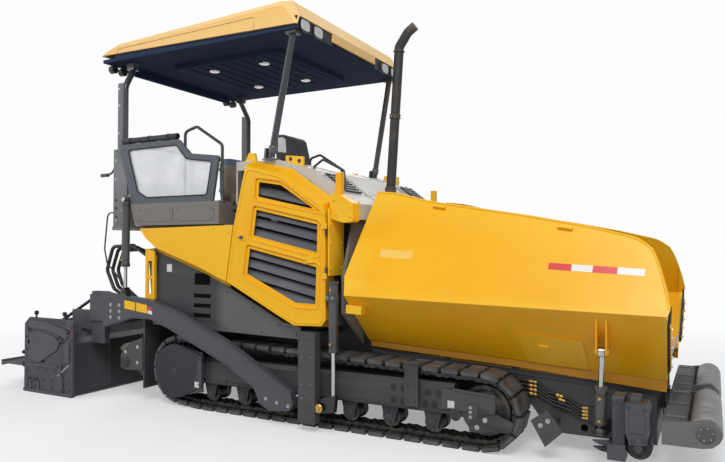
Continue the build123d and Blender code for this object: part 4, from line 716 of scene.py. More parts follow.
def one_shoe():
    """The pad, plate, bolts and link of one shoe, about its own middle."""
    pad, plate, bolts, link = (bmesh.new() for _ in range(4))
    half = pitch / 2
    for y0, y1 in ((-0.150, -0.005), (0.005, 0.150)):
        add_prism(pad, [(-half + 0.010, y0, 0.0006), (half - 0.010, y0, 0.0006),
                        (half - 0.015, y0, 0.041), (-half + 0.015, y0, 0.041)],
                  Vector((0, y1 - y0, 0)), 0.008, 2)
    add_prism(plate, [(-half + 0.006, -0.147, 0.0405), (half - 0.006, -0.147, 0.0405),
                      (half - 0.006, -0.147, 0.051), (-half + 0.006, -0.147, 0.051)],
              Vector((0, 0.294, 0)), 0.0015, 1)
    for x in (-0.035, 0.035):
        for y in (-0.125, 0.125):
            add_turned(bolts, (x, y, 0.0505), (x, y, 0.061), [(0, 0.010), (1, 0.009)], 6)
    for y in (-0.090, -0.060, 0.048, 0.078):
        points = [(-half + 0.004, 0.064), (-half + 0.014, 0.0505), (half - 0.026, 0.0505),
                  (half + 0.004, 0.055), (half + 0.014, 0.066), (half + 0.004, 0.082),
                  (half - 0.030, 0.086), (0.012, 0.074), (-0.012, 0.074),
                  (-half + 0.040, 0.086), (-half + 0.012, 0.080)]
        add_prism(link, [(x, y, z) for x, z in points], Vector((0, 0.012, 0)), 0.002, 1)
    side_disc(link, half - 0.004, 0.068, -0.096, 0.096, [(0, 0.011), (1, 0.011)], 10)
    return pad, plate, bolts, link


pad_rubber = rubber("road pad polyurethane", (0.056, 0.057, 0.063), 0.50, 45.0,
                    dust=(0.130, 0.124, 0.120))
link_steel = steel("track link steel", (0.045, 0.042, 0.038), (0.11, 0.10, 0.09), 0.52, 24.0)
shoe_steel = steel("shoe plate steel", (0.035, 0.034, 0.033), (0.085, 0.08, 0.075), 0.50, 30.0)
patterns = [mesh_from(part, "pattern", 40) for part in one_shoe()]
stems = (("track_pads", pad_rubber), ("shoe_plates", shoe_steel), ("shoe_bolts", shoe_steel),
         ("track_links", link_steel))
for pattern, (stem, finish) in zip(patterns, stems):
    whole = bmesh.new()
    for k in range(shoe_total):
        copy = pattern.copy()
        copy.transform(shoe_place((k + 0.5) * pitch + shoe_start))
        whole.from_mesh(copy)
        bpy.data.meshes.remove(copy)
    mesh = bpy.data.meshes.new(stem)
    bmesh.ops.recalc_face_normals(whole, faces=whole.faces)
    whole.to_mesh(mesh)
    whole.free()
    mesh.set_sharp_from_angle(angle=math.radians(35))
    track_piece = pair_mesh(stem, mesh, finish, "chassis")
    if stem == "track_links":
        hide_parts("crawler_tracks")


# ---------------------------------------------------------------- crawler frames
# Welded box beams that carry seven flanged rollers, an idler and the travel drive. The drive's
# round cast guard is bolted on outside the sprocket.
paint_node(["crawler_frames", "final_drives"], frame_paint)
wheel_steel = steel("track wheel steel", (0.05, 0.048, 0.045), (0.14, 0.13, 0.12), 0.48, 14.0)
paint_node(["track_wheels"], wheel_steel)
caps, cap_bolts, guard, guard_bolts, frame_studs = (bmesh.new() for _ in range(5))
for k in range(7):
    x = -0.740 + k * 2.300 / 6
    side_disc(caps, x, 0.1683, -1.074, -1.087, capped(0.034, 0.028), 20)
    for dx in (-0.026, 0.026):
        add_bolt(cap_bolts, (x + dx, -1.075, 0.215), (0, -1, 0), 0.0075, 0.006)
side_disc(caps, 1.980, 0.305, -1.074, -1.092, capped(0.048, 0.040), 24)
centre = Vector((-1.140, -1.135, 0.360))
guard_line = [centre + Vector((0.262 * math.cos(a), 0, 0.262 * math.sin(a)))
              for a in (math.radians(72 + 6.2 * k) for k in range(37))]
guard_line += [Vector((-0.900, -1.135, 0.190)), Vector((-0.800, -1.135, 0.240)),
               Vector((-0.800, -1.135, 0.520)), Vector((-0.860, -1.135, 0.560))]
add_prism(guard, guard_line, Vector((0, -0.012, 0)), 0.004)
add_turned(guard, centre - Vector((0, 0.011, 0)), centre - Vector((0, 0.018, 0)),
           capped(0.030, 0.024), 28)
side_bolts(guard_bolts, -1.147,
           ((-0.830, 0.500), (-0.830, 0.255), (-1.130, 0.590), (-1.368, 0.350), (-1.130, 0.122)),
           0.007, 0.004)
side_bolts(frame_studs, -1.075, product((-0.55, -0.10, 0.35), (0.30, 0.445)), 0.008, 0.006)
side_bolts(frame_studs, -1.115, product((1.357, 1.423), (0.34, 0.46)), 0.008, 0.006)
pair("roller_hubs", caps, frame_paint, "chassis")
for bolt_mesh in (cap_bolts, guard_bolts):
    join_into(frame_studs, bolt_mesh)
pair("frame_studs", frame_studs, frame_paint, "chassis")
pair("drive_guard", guard, dark_paint, "chassis")

# the beam's plugged assembly holes, its welded cover over the idler fork, and the nose plate
cover, plugs, bright_bolts = bmesh.new(), bmesh.new(), bmesh.new()
add_rope(cover, [Vector((-0.86, -1.0755, 0.466)), Vector((1.72, -1.0755, 0.466))], 0.004, 6)
side_plate(cover, -1.0745,
           [(1.640, 0.295), (2.075, 0.295), (2.083, 0.330), (2.083, 0.440), (1.735, 0.462),
            (1.640, 0.462)], 0.012, 0.003)
side_plate(cover, -1.0745, [(1.735, 0.449), (2.083, 0.427), (2.083, 0.447), (1.735, 0.469)], 0.018,
           0.002)
side_plate(cover, -1.0855,
           [(1.872, 0.150), (2.150, 0.172), (2.245, 0.186), (2.282, 0.236), (2.085, 0.306),
            (1.905, 0.262), (1.872, 0.215)], 0.014, 0.004)
side_plate(cover, -1.0885, [(1.860, 0.205), (1.944, 0.215), (1.944, 0.368), (1.860, 0.359)], 0.008,
           0.003)
side_disc(cover, 1.760, 0.262, -1.0895, -1.1005, capped(0.045, 0.039), 28)
for x, z in ((1.213, 0.425), (1.302, 0.422), (1.521, 0.412), (1.615, 0.410),
             (1.213, 0.322), (1.302, 0.322), (1.500, 0.322), (1.575, 0.322)):
    side_disc(plugs, x, z, -1.0745, -1.0765, capped(0.029, 0.026, 0.6), 24)
side_bolts(bright_bolts, -1.0965, ((1.884, 0.334), (1.884, 0.300), (1.884, 0.262)), 0.0085, 0.006)
side_bolts(bright_bolts, -1.0995, ((2.003, 0.252), (1.938, 0.190)), 0.0125, 0.005)
side_bolts(bright_bolts, -1.090, ((2.422, 0.264), (2.476, 0.302)), 0.012, 0.008)
pair("beam_covers", cover, frame_paint, "chassis")
pair("beam_plugs", plugs, black_rubber, "chassis")
pair("beam_bolts", bright_bolts, zinc, "chassis")
white_plate = mottled("bare white plate", (14, 5, [(0.3, (0.58, 0.58, 0.56)), (0.7, (0.74, 0.74, 0.72))]),
                      (180, 3, 0.08, 0.0005), 0.42)
plates = bmesh.new()
for x, y, z in ((-0.858, -1.147, 0.250), (1.721, -1.0865, 0.340)):
    add_block(plates, (x - 0.028, y - 0.0015, z - 0.028), (x + 0.028, y + 0.001, z + 0.028), 0.0006)
pair("frame_plates", plates, white_plate, "chassis")


# ---------------------------------------------------------------- chassis and tow points
# The main frame is thick plate, and outside each crawler a guide column and a hydraulic
# cylinder hold the tow arm's front pin.
paint_node(["chassis_frame", "panel_frames", "auger_frame", "tow_guides"], frame_paint)
paint_node(["tow_cylinders"], black_gloss)
iron = mottled("engine iron", (4, 8, [(0.35, (0.02, 0.02, 0.022)), (0.65, (0.06, 0.058, 0.055))]),
               (30, 6, 0.3, 0.003), 0.7)
paint_node(["machinery_blocks"], iron)

column, column_bolts, rod, boss = (bmesh.new() for _ in range(4))
for z0, z1 in ((0.10, 0.145), (0.79, 0.835)):
    side_bar(column, -1.2695, 0.415, 0.545, z0, z1, 0.005, 0.002)
side_bolts(column_bolts, -1.270, product((0.436, 0.524), (0.285, 0.405, 0.640, 0.760)), 0.0065,
           0.004, washer=False)
side_bolts(column_bolts, -1.243, ((0.668, 1.150), (0.722, 1.150)), 0.011, 0.008)
add_turned(rod, (0.705, -1.195, 0.318), (0.705, -1.195, 0.702), [(0, 0.0198), (1, 0.0198)], 28)
for z0, z1 in ((0.688, 0.722), (1.262, 1.292)):
    add_turned(boss, (0.705, -1.195, z0), (0.705, -1.195, z1), collar(0.047, 0.0445), 32)
pair("guide_plates", column, frame_paint, "chassis")
pair("guide_bolts", column_bolts, roller_steel, "chassis")
pair("tow_rod", rod, chrome, "chassis")
pair("tow_gland", boss, black_gloss, "chassis")
fitting = bmesh.new()
side_disc(fitting, 0.590, 0.212, -1.245, -1.262, capped(0.040, 0.033, 0.6), 28)
side_disc(fitting, 0.590, 0.212, -1.261, -1.270, capped(0.016, 0.012, 0.8), 6)
for z in (0.76, 1.22):
    side_disc(fitting, 0.705, z, -1.236, -1.252, [(0, 0.013), (1, 0.012)], 6)
pair("tow_fittings", fitting, brass, "chassis")


# ---------------------------------------------------------------- tow arms and screed
# Long curved arms of thick plate pull the screed: a heated steel box on a polished sole, with
# bolted end gates, a frame of tie bars on top and a step along its rear.
paint_node(["tow_arms", "screed_body", "screed_crown", "screed_end_gates"], dark_paint)
walk_paint = sprayed_paint("walkway paint", (0.020, 0.021, 0.023), (0.036, 0.037, 0.038), 0.60,
                           (0.14, 0.135, 0.13), dust=(0.13, 0.12, 0.10))
paint_node(["screed_walkway"], walk_paint)
arm_face = -1.250
arm_bolts, arm_parts, labels = bmesh.new(), bmesh.new(), bmesh.new()
side_bolts(arm_bolts, arm_face, product((-1.935, -1.810), (0.985, 0.920, 0.855)), 0.0115, 0.009)
side_bolts(arm_bolts, arm_face, ((0.040, 0.235), (0.158, 0.212), (0.278, 0.195)), 0.011, 0.009)
side_disc(arm_parts, -1.760, 1.140, arm_face + 0.001, arm_face - 0.014, capped(0.024, 0.019), 24)
arm_rim = [(-1.85, 1.070), (-1.66, 1.064), (-1.40, 1.041), (-1.05, 0.946), (-0.43, 0.701),
           (0.285, 0.312)]
add_rope(arm_parts, eased([Vector((x, arm_face, z)) for x, z in arm_rim], 0.2), 0.006, 6)
arm_rim = [(-2.02, 0.765), (-1.62, 0.878), (-1.38, 0.878), (-1.15, 0.808), (-0.43, 0.518),
           (-0.11, 0.345)]
add_rope(arm_parts, eased([Vector((x, arm_face, z)) for x, z in arm_rim], 0.2), 0.006, 6)
pair("arm_bolts", arm_bolts, zinc, "screed")
pair("arm_rims", arm_parts, dark_paint, "screed")
for x0, x1, z0 in ((-1.735, -1.585, 0.957), (-1.570, -1.420, 0.938)):
    side_plate(labels, arm_face + 0.0005,
               [(x0, z0), (x1, z0 - 0.018), (x1, z0 + 0.066), (x0, z0 + 0.084)], 0.002, 0.0006, 1)
pair("arm_labels", labels, yellow, "screed")
for name, low, finish in (("arm_tag", 0.922, tape_white), ("arm_tag_top", 0.957, tape_red)):
    tag = bmesh.new()
    side_plate(tag, arm_face + 0.0005,
               [(-1.410, low), (-1.350, low - 0.012), (-1.350, low + 0.022), (-1.410, low + 0.034)],
               0.002, 0.0005, 1)
    pair(name, tag, finish, "screed")

gate_y = -1.358
gate_bolts, gate_parts, knobs, rods = (bmesh.new() for _ in range(4))
for x in (-3.11, -2.98, -2.84, -2.70, -2.57, -2.43):
    for z in (0.075, 0.150) if x > -3.0 else (0.075, 0.230):
        add_bolt(gate_bolts, (x, gate_y, z), (0, -1, 0), 0.011, 0.009)
side_bolts(gate_bolts, gate_y,
           ((-2.40, 0.40), (-2.40, 0.50), (-2.40, 0.60), (-2.40, 0.74), (-2.52, 0.775),
            (-3.12, 0.46), (-3.12, 0.60), (-2.66, 0.26), (-2.80, 0.26), (-2.94, 0.26)), 0.010,
           0.008)
side_bar(gate_parts, gate_y, -3.10, -2.60, 0.29, 0.315, 0.010, 0.003)
side_plate(gate_parts, gate_y, [(-2.50, 0.36), (-2.42, 0.36), (-2.42, 0.58), (-2.50, 0.56)], 0.010,
           0.003)
for x in (-3.06, -2.93, -2.55):
    side_plate(gate_parts, gate_y,
               [(x, 0.034), (x + 0.035, 0.034), (x + 0.028, 0.13), (x + 0.007, 0.13)], 0.010, 0.002)
for x, z in ((-2.98, 0.845), (-2.52, 0.850)):
    add_turned(gate_parts, (x, -1.345, 0.79), (x, -1.345, z), [(0, 0.011), (1, 0.011)], 14)
    add_turned(knobs, (x, -1.345, z - 0.004), (x, -1.345, z + 0.040),
               [(0, 0.013), (0.2, 0.023), (0.8, 0.023), (1, 0.014)], 20)
for x, z in ((-3.158, 0.30), (-3.158, 0.42)):
    add_turned(knobs, (x, -1.345, z), (x - 0.045, -1.345, z),
               [(0, 0.012), (0.25, 0.022), (0.8, 0.022), (1, 0.014)], 18)
add_turned(rods, (-2.60, -1.3615, 0.21), (-2.42, -1.3615, 0.34), [(0, 0.007), (1, 0.007)], 14)
# thin near-black bars and rings on the end gate: painted shadow for its slots and the hollows inside its
# rings
slot_shadows = bmesh.new()
for x0, x1, z0, z1 in ((-2.90, -2.82, 0.335, 0.352), (-3.105, -3.075, 0.52, 0.56),
                       (-2.865, -2.800, 0.385, 0.500)):
    side_bar(slot_shadows, gate_y, x0, x1, z0, z1, 0.0015, 0.0006, 1)
for x, z, radius in ((-3.075, 0.690, 0.040), (-2.455, 0.685, 0.044), (-2.560, 0.590, 0.050)):
    side_disc(gate_parts, x, z, gate_y + 0.001, gate_y - 0.007, capped(radius, radius - 0.005), 32)
    side_disc(slot_shadows, x, z, gate_y - 0.0065, gate_y - 0.0078,
              [(0, radius - 0.013), (1, radius - 0.014)], 28)
    side_disc(gate_parts, x, z, gate_y - 0.006, gate_y - 0.0095,
              capped(radius - 0.022, radius - 0.025), 20)
side_bar(gate_parts, gate_y, -2.535, -2.512, 0.045, 0.215, 0.011, 0.004)
side_bar(gate_parts, gate_y, -2.548, -2.499, 0.045, 0.080, 0.011, 0.004)
for x in (-3.095, -3.035, -2.975):
    side_bar(gate_parts, gate_y, x, x + 0.044, 0.120, 0.172, 0.0095, 0.004)
    side_disc(slot_shadows, x + 0.022, 0.146, gate_y - 0.0093, gate_y - 0.0105, [(0, 0.013), (1, 0.012)],
              20)
pair("gate_slot_shadows", slot_shadows, painted_shadow_black, "screed")
pair("gate_bolts", gate_bolts, dark_paint, "screed")
pair("gate_parts", gate_parts, dark_paint, "screed")
pair("gate_knobs", knobs, black_rubber, "screed")
pair("gate_rod", rods, chrome, "screed")


def lens(name, colour, glow=0.0):
    """A moulded lamp lens with fine flutes."""
    material, tree, shader = new_material(name)
    wave = noise_node(tree, 220, 1, (1, 1, 8))
    dim = tuple(c * 0.75 for c in colour)
    tree.links.new(ramp_node(tree, wave, [(0.3, dim), (0.7, colour)]), shader.inputs["Base Color"])
    bump_node(tree, shader, wave, 0.25, 0.0008)
    shader.inputs["Roughness"].default_value = 0.12
    shader.inputs["Coat Weight"].default_value = 0.6
    if glow:
        shader.inputs["Emission Color"].default_value = (*colour, 1)
        shader.inputs["Emission Strength"].default_value = glow
    return material


amber = lens("amber lens", (0.55, 0.07, 0.01))
lamps = bmesh.new()
for x, z in ((-2.432, 0.655), (-3.108, 0.680), (-2.432, 0.715)):
    side_disc(lamps, x, z, gate_y + 0.001, gate_y - 0.007, capped(0.013, 0.009, 0.6), 18)
for z in (0.60, 0.53):
    add_turned(lamps, (-3.150, -1.300, z), (-3.178, -1.300, z), capped(0.030, 0.024, 0.6), 24)
pair("screed_lamps", lamps, amber, "screed")

body_bolts, ribs = bmesh.new(), bmesh.new()
for y in (-1.20, -1.02, -0.70, -0.56, -0.25, -0.11):
    for z in (0.14, 0.48):
        add_bolt(body_bolts, (-3.139, y, z), (-1, 0, 0), 0.010)
for y in (-1.28, -0.88, -0.42, 0.0):
    add_prism(ribs, [(-3.1395, y, 0.07), (-3.1395, y, 0.50), (-3.154, y, 0.48),
                     (-3.154, y, 0.09)], Vector((0, 0.016, 0)), 0.002)
for y0, y1 in ((-1.24, -0.92), (-0.84, -0.46), (-0.38, -0.04)):
    add_prism(ribs, [(-2.60, y0, 0.6995), (-2.60, y1, 0.6995), (-2.90, y1, 0.6995),
                     (-2.90, y0, 0.6995)], Vector((0, 0, 0.008)), 0.003)
pair("screed_ribs", ribs, dark_paint, "screed")
pair("screed_bolts", body_bolts, zinc, "screed")

# the walkway's raised tread pattern
tread = bmesh.new()
for k in range(58):
    y = -1.305 + k * 0.0458
    for row in range(5):
        x = -3.57 + row * 0.075
        lean = 0.011 if (k + row) % 2 else -0.011
        add_prism(tread, [(x - 0.011, y - lean - 0.002, 0.2775), (x - 0.011, y - lean + 0.002, 0.2775),
                          (x + 0.011, y + lean + 0.002, 0.2775), (x + 0.011, y + lean - 0.002, 0.2775)],
                  Vector((0, 0, 0.0025)))
link_shape("walkway_tread", tread, walk_paint, "screed")


# ---------------------------------------------------------------- screed lift cylinders
# Two hydraulic cylinders hang from uprights on the platform's edge and lift the arms by their
# ears. Barrels are painted black, rods hard-chromed.
paint_node(["lift_barrels"], black_gloss)
paint_node(["lift_rods"], chrome)
gland, ports, pins = bmesh.new(), bmesh.new(), bmesh.new()
for z0, z1 in ((1.379, 1.415), (2.000, 2.030)):
    add_turned(gland, (-1.760, -1.216, z0), (-1.760, -1.216, z1), collar(0.0445, 0.042), 32)
for z in (1.45, 1.96):
    add_turned(ports, (-1.795, -1.216, z), (-1.822, -1.216, z), [(0, 0.014), (1, 0.013)], 6)
side_disc(pins, -1.760, 2.070, -1.251, -1.262, capped(0.026, 0.021), 6)
pair("lift_glands", gland, black_gloss, "lift_barrels")
pair("lift_ports", ports, brass, "lift_barrels")
pair("lift_pin_nuts", pins, zinc, "chassis")


# ---------------------------------------------------------------- augers
# Two screws of cast wear segments spread the mix along the screed. The shafts run from a
# chain case in the middle to outer bearings.
auger_steel = steel("worn auger steel", (0.10, 0.09, 0.08), (0.26, 0.24, 0.21), 0.42, 12.0)
paint_node(["auger_right", "auger_left"], auger_steel)
hubs, hub_bolts = bmesh.new(), bmesh.new()
for k in range(4):
    y = -0.24 - 0.26 * k
    side_disc(hubs, -1.800, 0.400, y, y - 0.05, collar(0.054, 0.050), 26)
    for turn in range(4):
        angle = math.radians(45 + 90 * turn)
        out = Vector((math.cos(angle), 0, math.sin(angle)))
        add_bolt(hub_bolts, Vector((-1.800, y - 0.025, 0.400)) + out * 0.0535, out, 0.007, 0.006,
                 washer=False)
pair("auger_clamps", hubs, auger_steel, "auger")
pair("auger_clamp_bolts", hub_bolts, zinc, "auger")
board_bolts, board = bmesh.new(), bmesh.new()
for y in (-1.10, -0.95, -0.80, -0.50, -0.32, -0.16):
    for z in (0.19, 0.58):
        add_bolt(board_bolts, (-1.560, y, z), (-1, 0, 0), 0.010)
add_prism(board, [(-1.5595, -1.14, 0.16), (-1.5595, -0.10, 0.16), (-1.5595, -0.10, 0.22),
                  (-1.5595, -1.14, 0.22)], Vector((-0.008, 0, 0)), 0.002)
side_bolts(board_bolts, -1.1723, ((-1.63, 0.56), (-1.63, 0.40), (-1.80, 0.50), (-1.83, 0.37)),
           0.012)
side_disc(board, -1.800, 0.400, -1.171, -1.190, capped(0.056, 0.046), 28)
pair("auger_board_bars", board, frame_paint, "chassis")
pair("auger_board_bolts", board_bolts, zinc, "chassis")


# ---------------------------------------------------------------- side panels
# Pressed steel panels: yellow above, dark grey below, screwed to brackets under the platform.
# The lower ones have cooling slots and a latch recess, drawn as near-black plates of painted shadow. The
# rear steps' slotted post is yellow.
paint_node(["rear_side_panels"], yellow)
panel_paint = sprayed_paint("dark panel paint", (0.036, 0.038, 0.042), (0.050, 0.052, 0.056),
                            0.38, (0.12, 0.12, 0.125), dust=(0.085, 0.080, 0.074), shine=0.3)
paint_node(["lower_side_panels"], panel_paint)
screws, plate, latch_shadow, seams = (bmesh.new() for _ in range(4))
face = -1.130
side_bolts(screws, face,
           ((-1.49, 1.50), (-1.43, 0.85), (-1.00, 0.83), (-0.60, 0.82), (-0.60, 1.27),
            (-1.30, 1.53), (-0.86, 1.37), (-1.46, 1.15), (-0.52, 0.82), (-0.10, 0.80),
            (0.28, 0.80), (-0.50, 1.16), (-0.20, 1.02), (0.10, 0.88)), 0.0075, 0.005)
add_block(plate, (-1.273, face - 0.0015, 1.333), (-1.205, face + 0.001, 1.411), 0.0006)
# the latch recess as two stepped plates in near-black: painted shadow
x0, x1, z0, z1 = -0.904, -0.713, 1.217, 1.328
side_bar(latch_shadow, face, x0, x1, z0, z1, 0.006, 0.003)
side_bar(latch_shadow, face - 0.005, x0 + 0.02, x1 - 0.02, z0 + 0.02, z1 - 0.02, 0.005, 0.003)
for points in ([(-0.556, 0.785), (-0.556, 1.325)], [(-1.455, 0.812), (-1.515, 1.545)]):
    add_rope(seams, [Vector((x, face + 0.001, z)) for x, z in points], 0.005, 6)
# three thin near-black plates: painted shadow for the panel's cooling slots
slot_shadows = bmesh.new()
for z in (0.905, 1.000, 1.095):
    side_bar(slot_shadows, face, -0.917, -0.703, z - 0.004, z + 0.034, 0.002, 0.001, 1)
pair("panel_slot_shadows", slot_shadows, painted_shadow_black, "chassis")
pair("panel_screws", screws, panel_paint, "chassis")
pair("panel_plate", plate, white_plate, "chassis")
pair("panel_latch_shadow", latch_shadow, painted_shadow_black, "chassis")
pair("panel_seams", seams, panel_paint, "chassis")
upper_screws = bmesh.new()
side_bolts(upper_screws, -1.220,
           ((-1.47, 1.745), (-1.20, 1.748), (-0.90, 1.753), (-0.60, 1.758), (-0.42, 1.72),
            (-0.49, 1.34), (-1.28, 1.60)), 0.008, 0.005)
side_bolts(upper_screws, -1.170,
           ((-1.510, 1.55), (-1.425, 1.55), (-1.510, 1.07), (-1.425, 1.06), (-1.467, 1.275)), 0.007,
           0.005)
pair("rear_panel_screws", upper_screws, yellow, "chassis")


# ---------------------------------------------------------------- side doors
# A large pressed steel door each side, hinged at its front edge, with three louvred windows
# over curved sheet blades. A bead is pressed round every window.
paint_node(["side_door_right", "side_door_left"], yellow)
louvre_paint = sprayed_paint("louvre paint", (0.082, 0.085, 0.098), (0.115, 0.118, 0.132), 0.34,
                             (0.20, 0.205, 0.22))
paint_node(["louvre_grille_right", "louvre_grille_left"], louvre_paint)
door_windows = (((-0.077, 2.180), (0.170, 2.140), (0.545, 1.900), (-0.088, 2.037)),
                ((-0.106, 1.929), (0.556, 1.784), (0.552, 1.530), (-0.140, 1.684)),
                ((-0.180, 1.575), (0.547, 1.414), (0.536, 1.084), (0.325, 1.090), (-0.212, 1.336)))


def grown(points, out):
    """A closed outline moved outward, edge by edge."""
    count = len(points)
    area = sum(points[i][0] * points[(i + 1) % count][1] - points[(i + 1) % count][0] * points[i][1]
               for i in range(count))
    turn = -1 if area > 0 else 1
    moved = []
    for i in range(count):
        before, here, after = (Vector(points[(i + k) % count]) for k in (-1, 0, 1))
        first, second = (here - before).normalized(), (after - here).normalized()
        n1, n2 = Vector((-first.y, first.x)) * turn, Vector((-second.y, second.x)) * turn
        middle = (n1 + n2).normalized()
        moved.append(here + middle * (out / max(middle.dot(n1), 0.3)))
    return moved


def ring_line(points, y, radius):
    """A closed outline on a plane of constant y, with rounded corners."""
    spots = [Vector((x, y, z)) for x, z in points]
    middle = (spots[-1] + spots[0]) / 2
    return eased([middle] + spots + [middle], radius, 6)


beads, borders, door_parts = bmesh.new(), bmesh.new(), bmesh.new()
for window in door_windows:
    add_rope(beads, ring_line(grown(window, 0.036), -1.2195, 0.05), 0.006, 8)
    add_rope(borders, ring_line(grown(window, -0.002), -1.2060, 0.014), 0.0045, 6)
outline = [(-0.204, 2.298), (0.160, 2.207), (0.582, 1.936), (0.612, 1.875), (0.616, 0.975),
           (0.585, 0.926), (0.322, 0.920), (0.160, 0.995), (-0.408, 1.272), (-0.330, 1.788)]
add_rope(beads, ring_line(outline, -1.2195, 0.06), 0.006, 8)
for x0, x1, z0, z1 in ((0.440, 0.520, 1.445, 1.505), (-0.300, -0.220, 1.640, 1.700)):
    side_bar(door_parts, -1.220, x0, x1, z0, z1, 0.005, 0.003)
for z in (1.335, 1.765):
    for x in (0.590, 0.575):
        add_bolt(door_parts, (x, -1.220, z + (x - 0.58) * 1.6), (0, -1, 0), 0.006, 0.004,
                 washer=False)
latch = bmesh.new()
side_disc(latch, -0.262, 1.671, -1.224, -1.232, capped(0.018, 0.014), 20)
side_bar(latch, -1.231, -0.290, -0.234, 1.664, 1.678, 0.006, 0.002)
pair("door_beads", beads, yellow, "door", 60)
pair("door_borders", borders, yellow, "door", 60)
pair("door_plates", door_parts, yellow, "door")
pair("door_latch", latch, black_gloss, "door")


# ---------------------------------------------------------------- engine hood
# Folded sheet steel in a warm grey over the engine, between yellow shoulder cheeks. The
# shoulders carry lifting brackets, and the hood is held by catches and screws.
hood_grey = sprayed_paint("hood grey paint", (0.37, 0.355, 0.32), (0.45, 0.43, 0.39), 0.42,
                          (0.55, 0.52, 0.47), dust=(0.50, 0.47, 0.40))
paint_node(["engine_hood"], hood_grey)
paint_node(["hood_corners"], yellow)
hood_line = ((-0.455, 2.3963), (0.040, 2.3863), (0.430, 2.2723), (0.725, 2.0483), (0.885, 1.9553))


def hood_height(x):
    """Height of the hood's skin at a place along it."""
    for (x0, z0), (x1, z1) in zip(hood_line, hood_line[1:]):
        if x <= x1:
            return z0 + (z1 - z0) * (x - x0) / (x1 - x0)
    return hood_line[-1][1]


def hood_strip(shape, x0, x1, y0, y1, lift, bevel=0.003):
    """A flat strip that follows the hood's bends."""
    stops = [x0] + [x for x, _ in hood_line if x0 < x < x1] + [x1]
    for a, b in zip(stops, stops[1:]):
        za, zb = hood_height(a), hood_height(b)
        up = Vector((-(zb - za), 0, b - a)).normalized() * (lift + 0.001)
        add_prism(shape, [Vector((a, y0, za - 0.001)), Vector((b, y0, zb - 0.001)),
                          Vector((b, y1, zb - 0.001)), Vector((a, y1, za - 0.001))], up, bevel, 1)


ribs, hood_bolts, vents = bmesh.new(), bmesh.new(), bmesh.new()
for y in (-0.55, 0.55):
    hood_strip(ribs, -0.43, 0.87, y - 0.016, y + 0.016, 0.007)
for x0, x1 in ((-0.36, -0.02), (0.08, 0.40)):
    hood_strip(ribs, x0, x1, -0.42, 0.42, 0.004)
for k in range(7):
    x = 0.475 + 0.034 * k
    z = hood_height(x)
    for y0, y1 in ((-0.95, -0.66), (0.66, 0.95)):
        add_prism(vents, [Vector((x - 0.010, y0, z + 0.004)), Vector((x + 0.012, y0, z - 0.010)),
                          Vector((x + 0.012, y1, z - 0.010)), Vector((x - 0.010, y1, z + 0.004))],
                  Vector((0.012, 0, 0.016)), 0.002, 1)
for y in (-1.03, -0.60, -0.50, 0.50, 0.60, 1.03):
    for x in (-0.42, -0.10, 0.10, 0.38, 0.50, 0.70, 0.86):
        add_bolt(hood_bolts, (x, y, hood_height(x)), (0.2, 0, 1), 0.008, 0.005)
link_shape("hood_ribs", ribs, hood_grey, "chassis")
link_shape("hood_vents", vents, dark_paint, "chassis")
link_shape("hood_bolts", hood_bolts, hood_grey, "chassis")
cheek_bolts = bmesh.new()
side_bolts(cheek_bolts, -1.180, ((0.70, 1.98), (0.86, 1.92), (0.86, 1.84), (0.72, 1.86)), 0.008,
           0.005)
for y, z in ((-1.19, 1.40), (-1.19, 1.62), (-1.19, 1.78), (-1.00, 1.40), (-1.00, 1.62)):
    add_bolt(cheek_bolts, (0.675, y, z), (1, 0, 0), 0.008, 0.005)
pair("corner_bolts", cheek_bolts, yellow, "chassis")


# ---------------------------------------------------------------- exhaust stack
# A long steel pipe that leans with the hood, in heat-resistant black, on a flanged sleeve and
# with a clamp half way up.
stack_paint = sprayed_paint("stack paint", (0.022, 0.021, 0.021), (0.045, 0.040, 0.036), 0.50,
                            (0.15, 0.11, 0.08), dust=(0.10, 0.07, 0.045))
paint_node(["exhaust_stack"], stack_paint)
stack, stack_bolts = bmesh.new(), bmesh.new()


def stack_axis(z):
    """The middle of the pipe at a height."""
    return Vector((0.670 + (z - 2.140) * math.tan(math.radians(3.9)), 0, z))


add_turned(stack, (0.670, 0, 2.060), (0.670, 0, 2.128), capped(0.086, 0.080, 0.80), 40)
for z in (2.178, 2.886, 2.916, 3.560):
    add_turned(stack, stack_axis(z), stack_axis(z + 0.012), collar(0.059, 0.053, 0.2), 36)
for k in range(8):
    angle = 2 * math.pi * k / 8
    add_bolt(stack_bolts, (0.670 + 0.073 * math.cos(angle), 0.073 * math.sin(angle), 2.128),
             (0, 0, 1), 0.006, 0.005, washer=False)
add_turned(stack_bolts, stack_axis(2.900) + Vector((0, -0.058, 0)),
           stack_axis(2.900) + Vector((0, -0.088, 0)), [(0, 0.007), (1, 0.007)], 6)
link_shape("stack_rings", stack, stack_paint, "chassis")
link_shape("stack_bolts", stack_bolts, zinc, "chassis")


# ---------------------------------------------------------------- operator's platform
# A steel deck with side boxes, wind shields with clear panes, and rails of bent tube. The
# boxes hold the displays and valves, and their lids are screwed down.
deck_paint = sprayed_paint("deck paint", (0.045, 0.046, 0.048), (0.070, 0.070, 0.070), 0.62,
                           (0.20, 0.19, 0.18), dust=(0.20, 0.18, 0.15))
paint_node(["platform_deck"], deck_paint)
console_paint = sprayed_paint("console paint", (0.064, 0.059, 0.053), (0.088, 0.080, 0.072),
                              0.46, (0.19, 0.18, 0.165), dust=(0.16, 0.145, 0.125), shine=0.35)
paint_node(["operator_stands"], console_paint)
shield_paint = sprayed_paint("shield paint", (0.024, 0.029, 0.044), (0.038, 0.044, 0.060), 0.40,
                             (0.10, 0.11, 0.13), shine=0.25)
paint_node(["side_shields"], shield_paint)
rail_paint = sprayed_paint("rail paint", (0.020, 0.021, 0.024), (0.034, 0.035, 0.039), 0.33,
                           (0.12, 0.12, 0.12), coat=0.15)
paint_node(["handrails"], rail_paint)

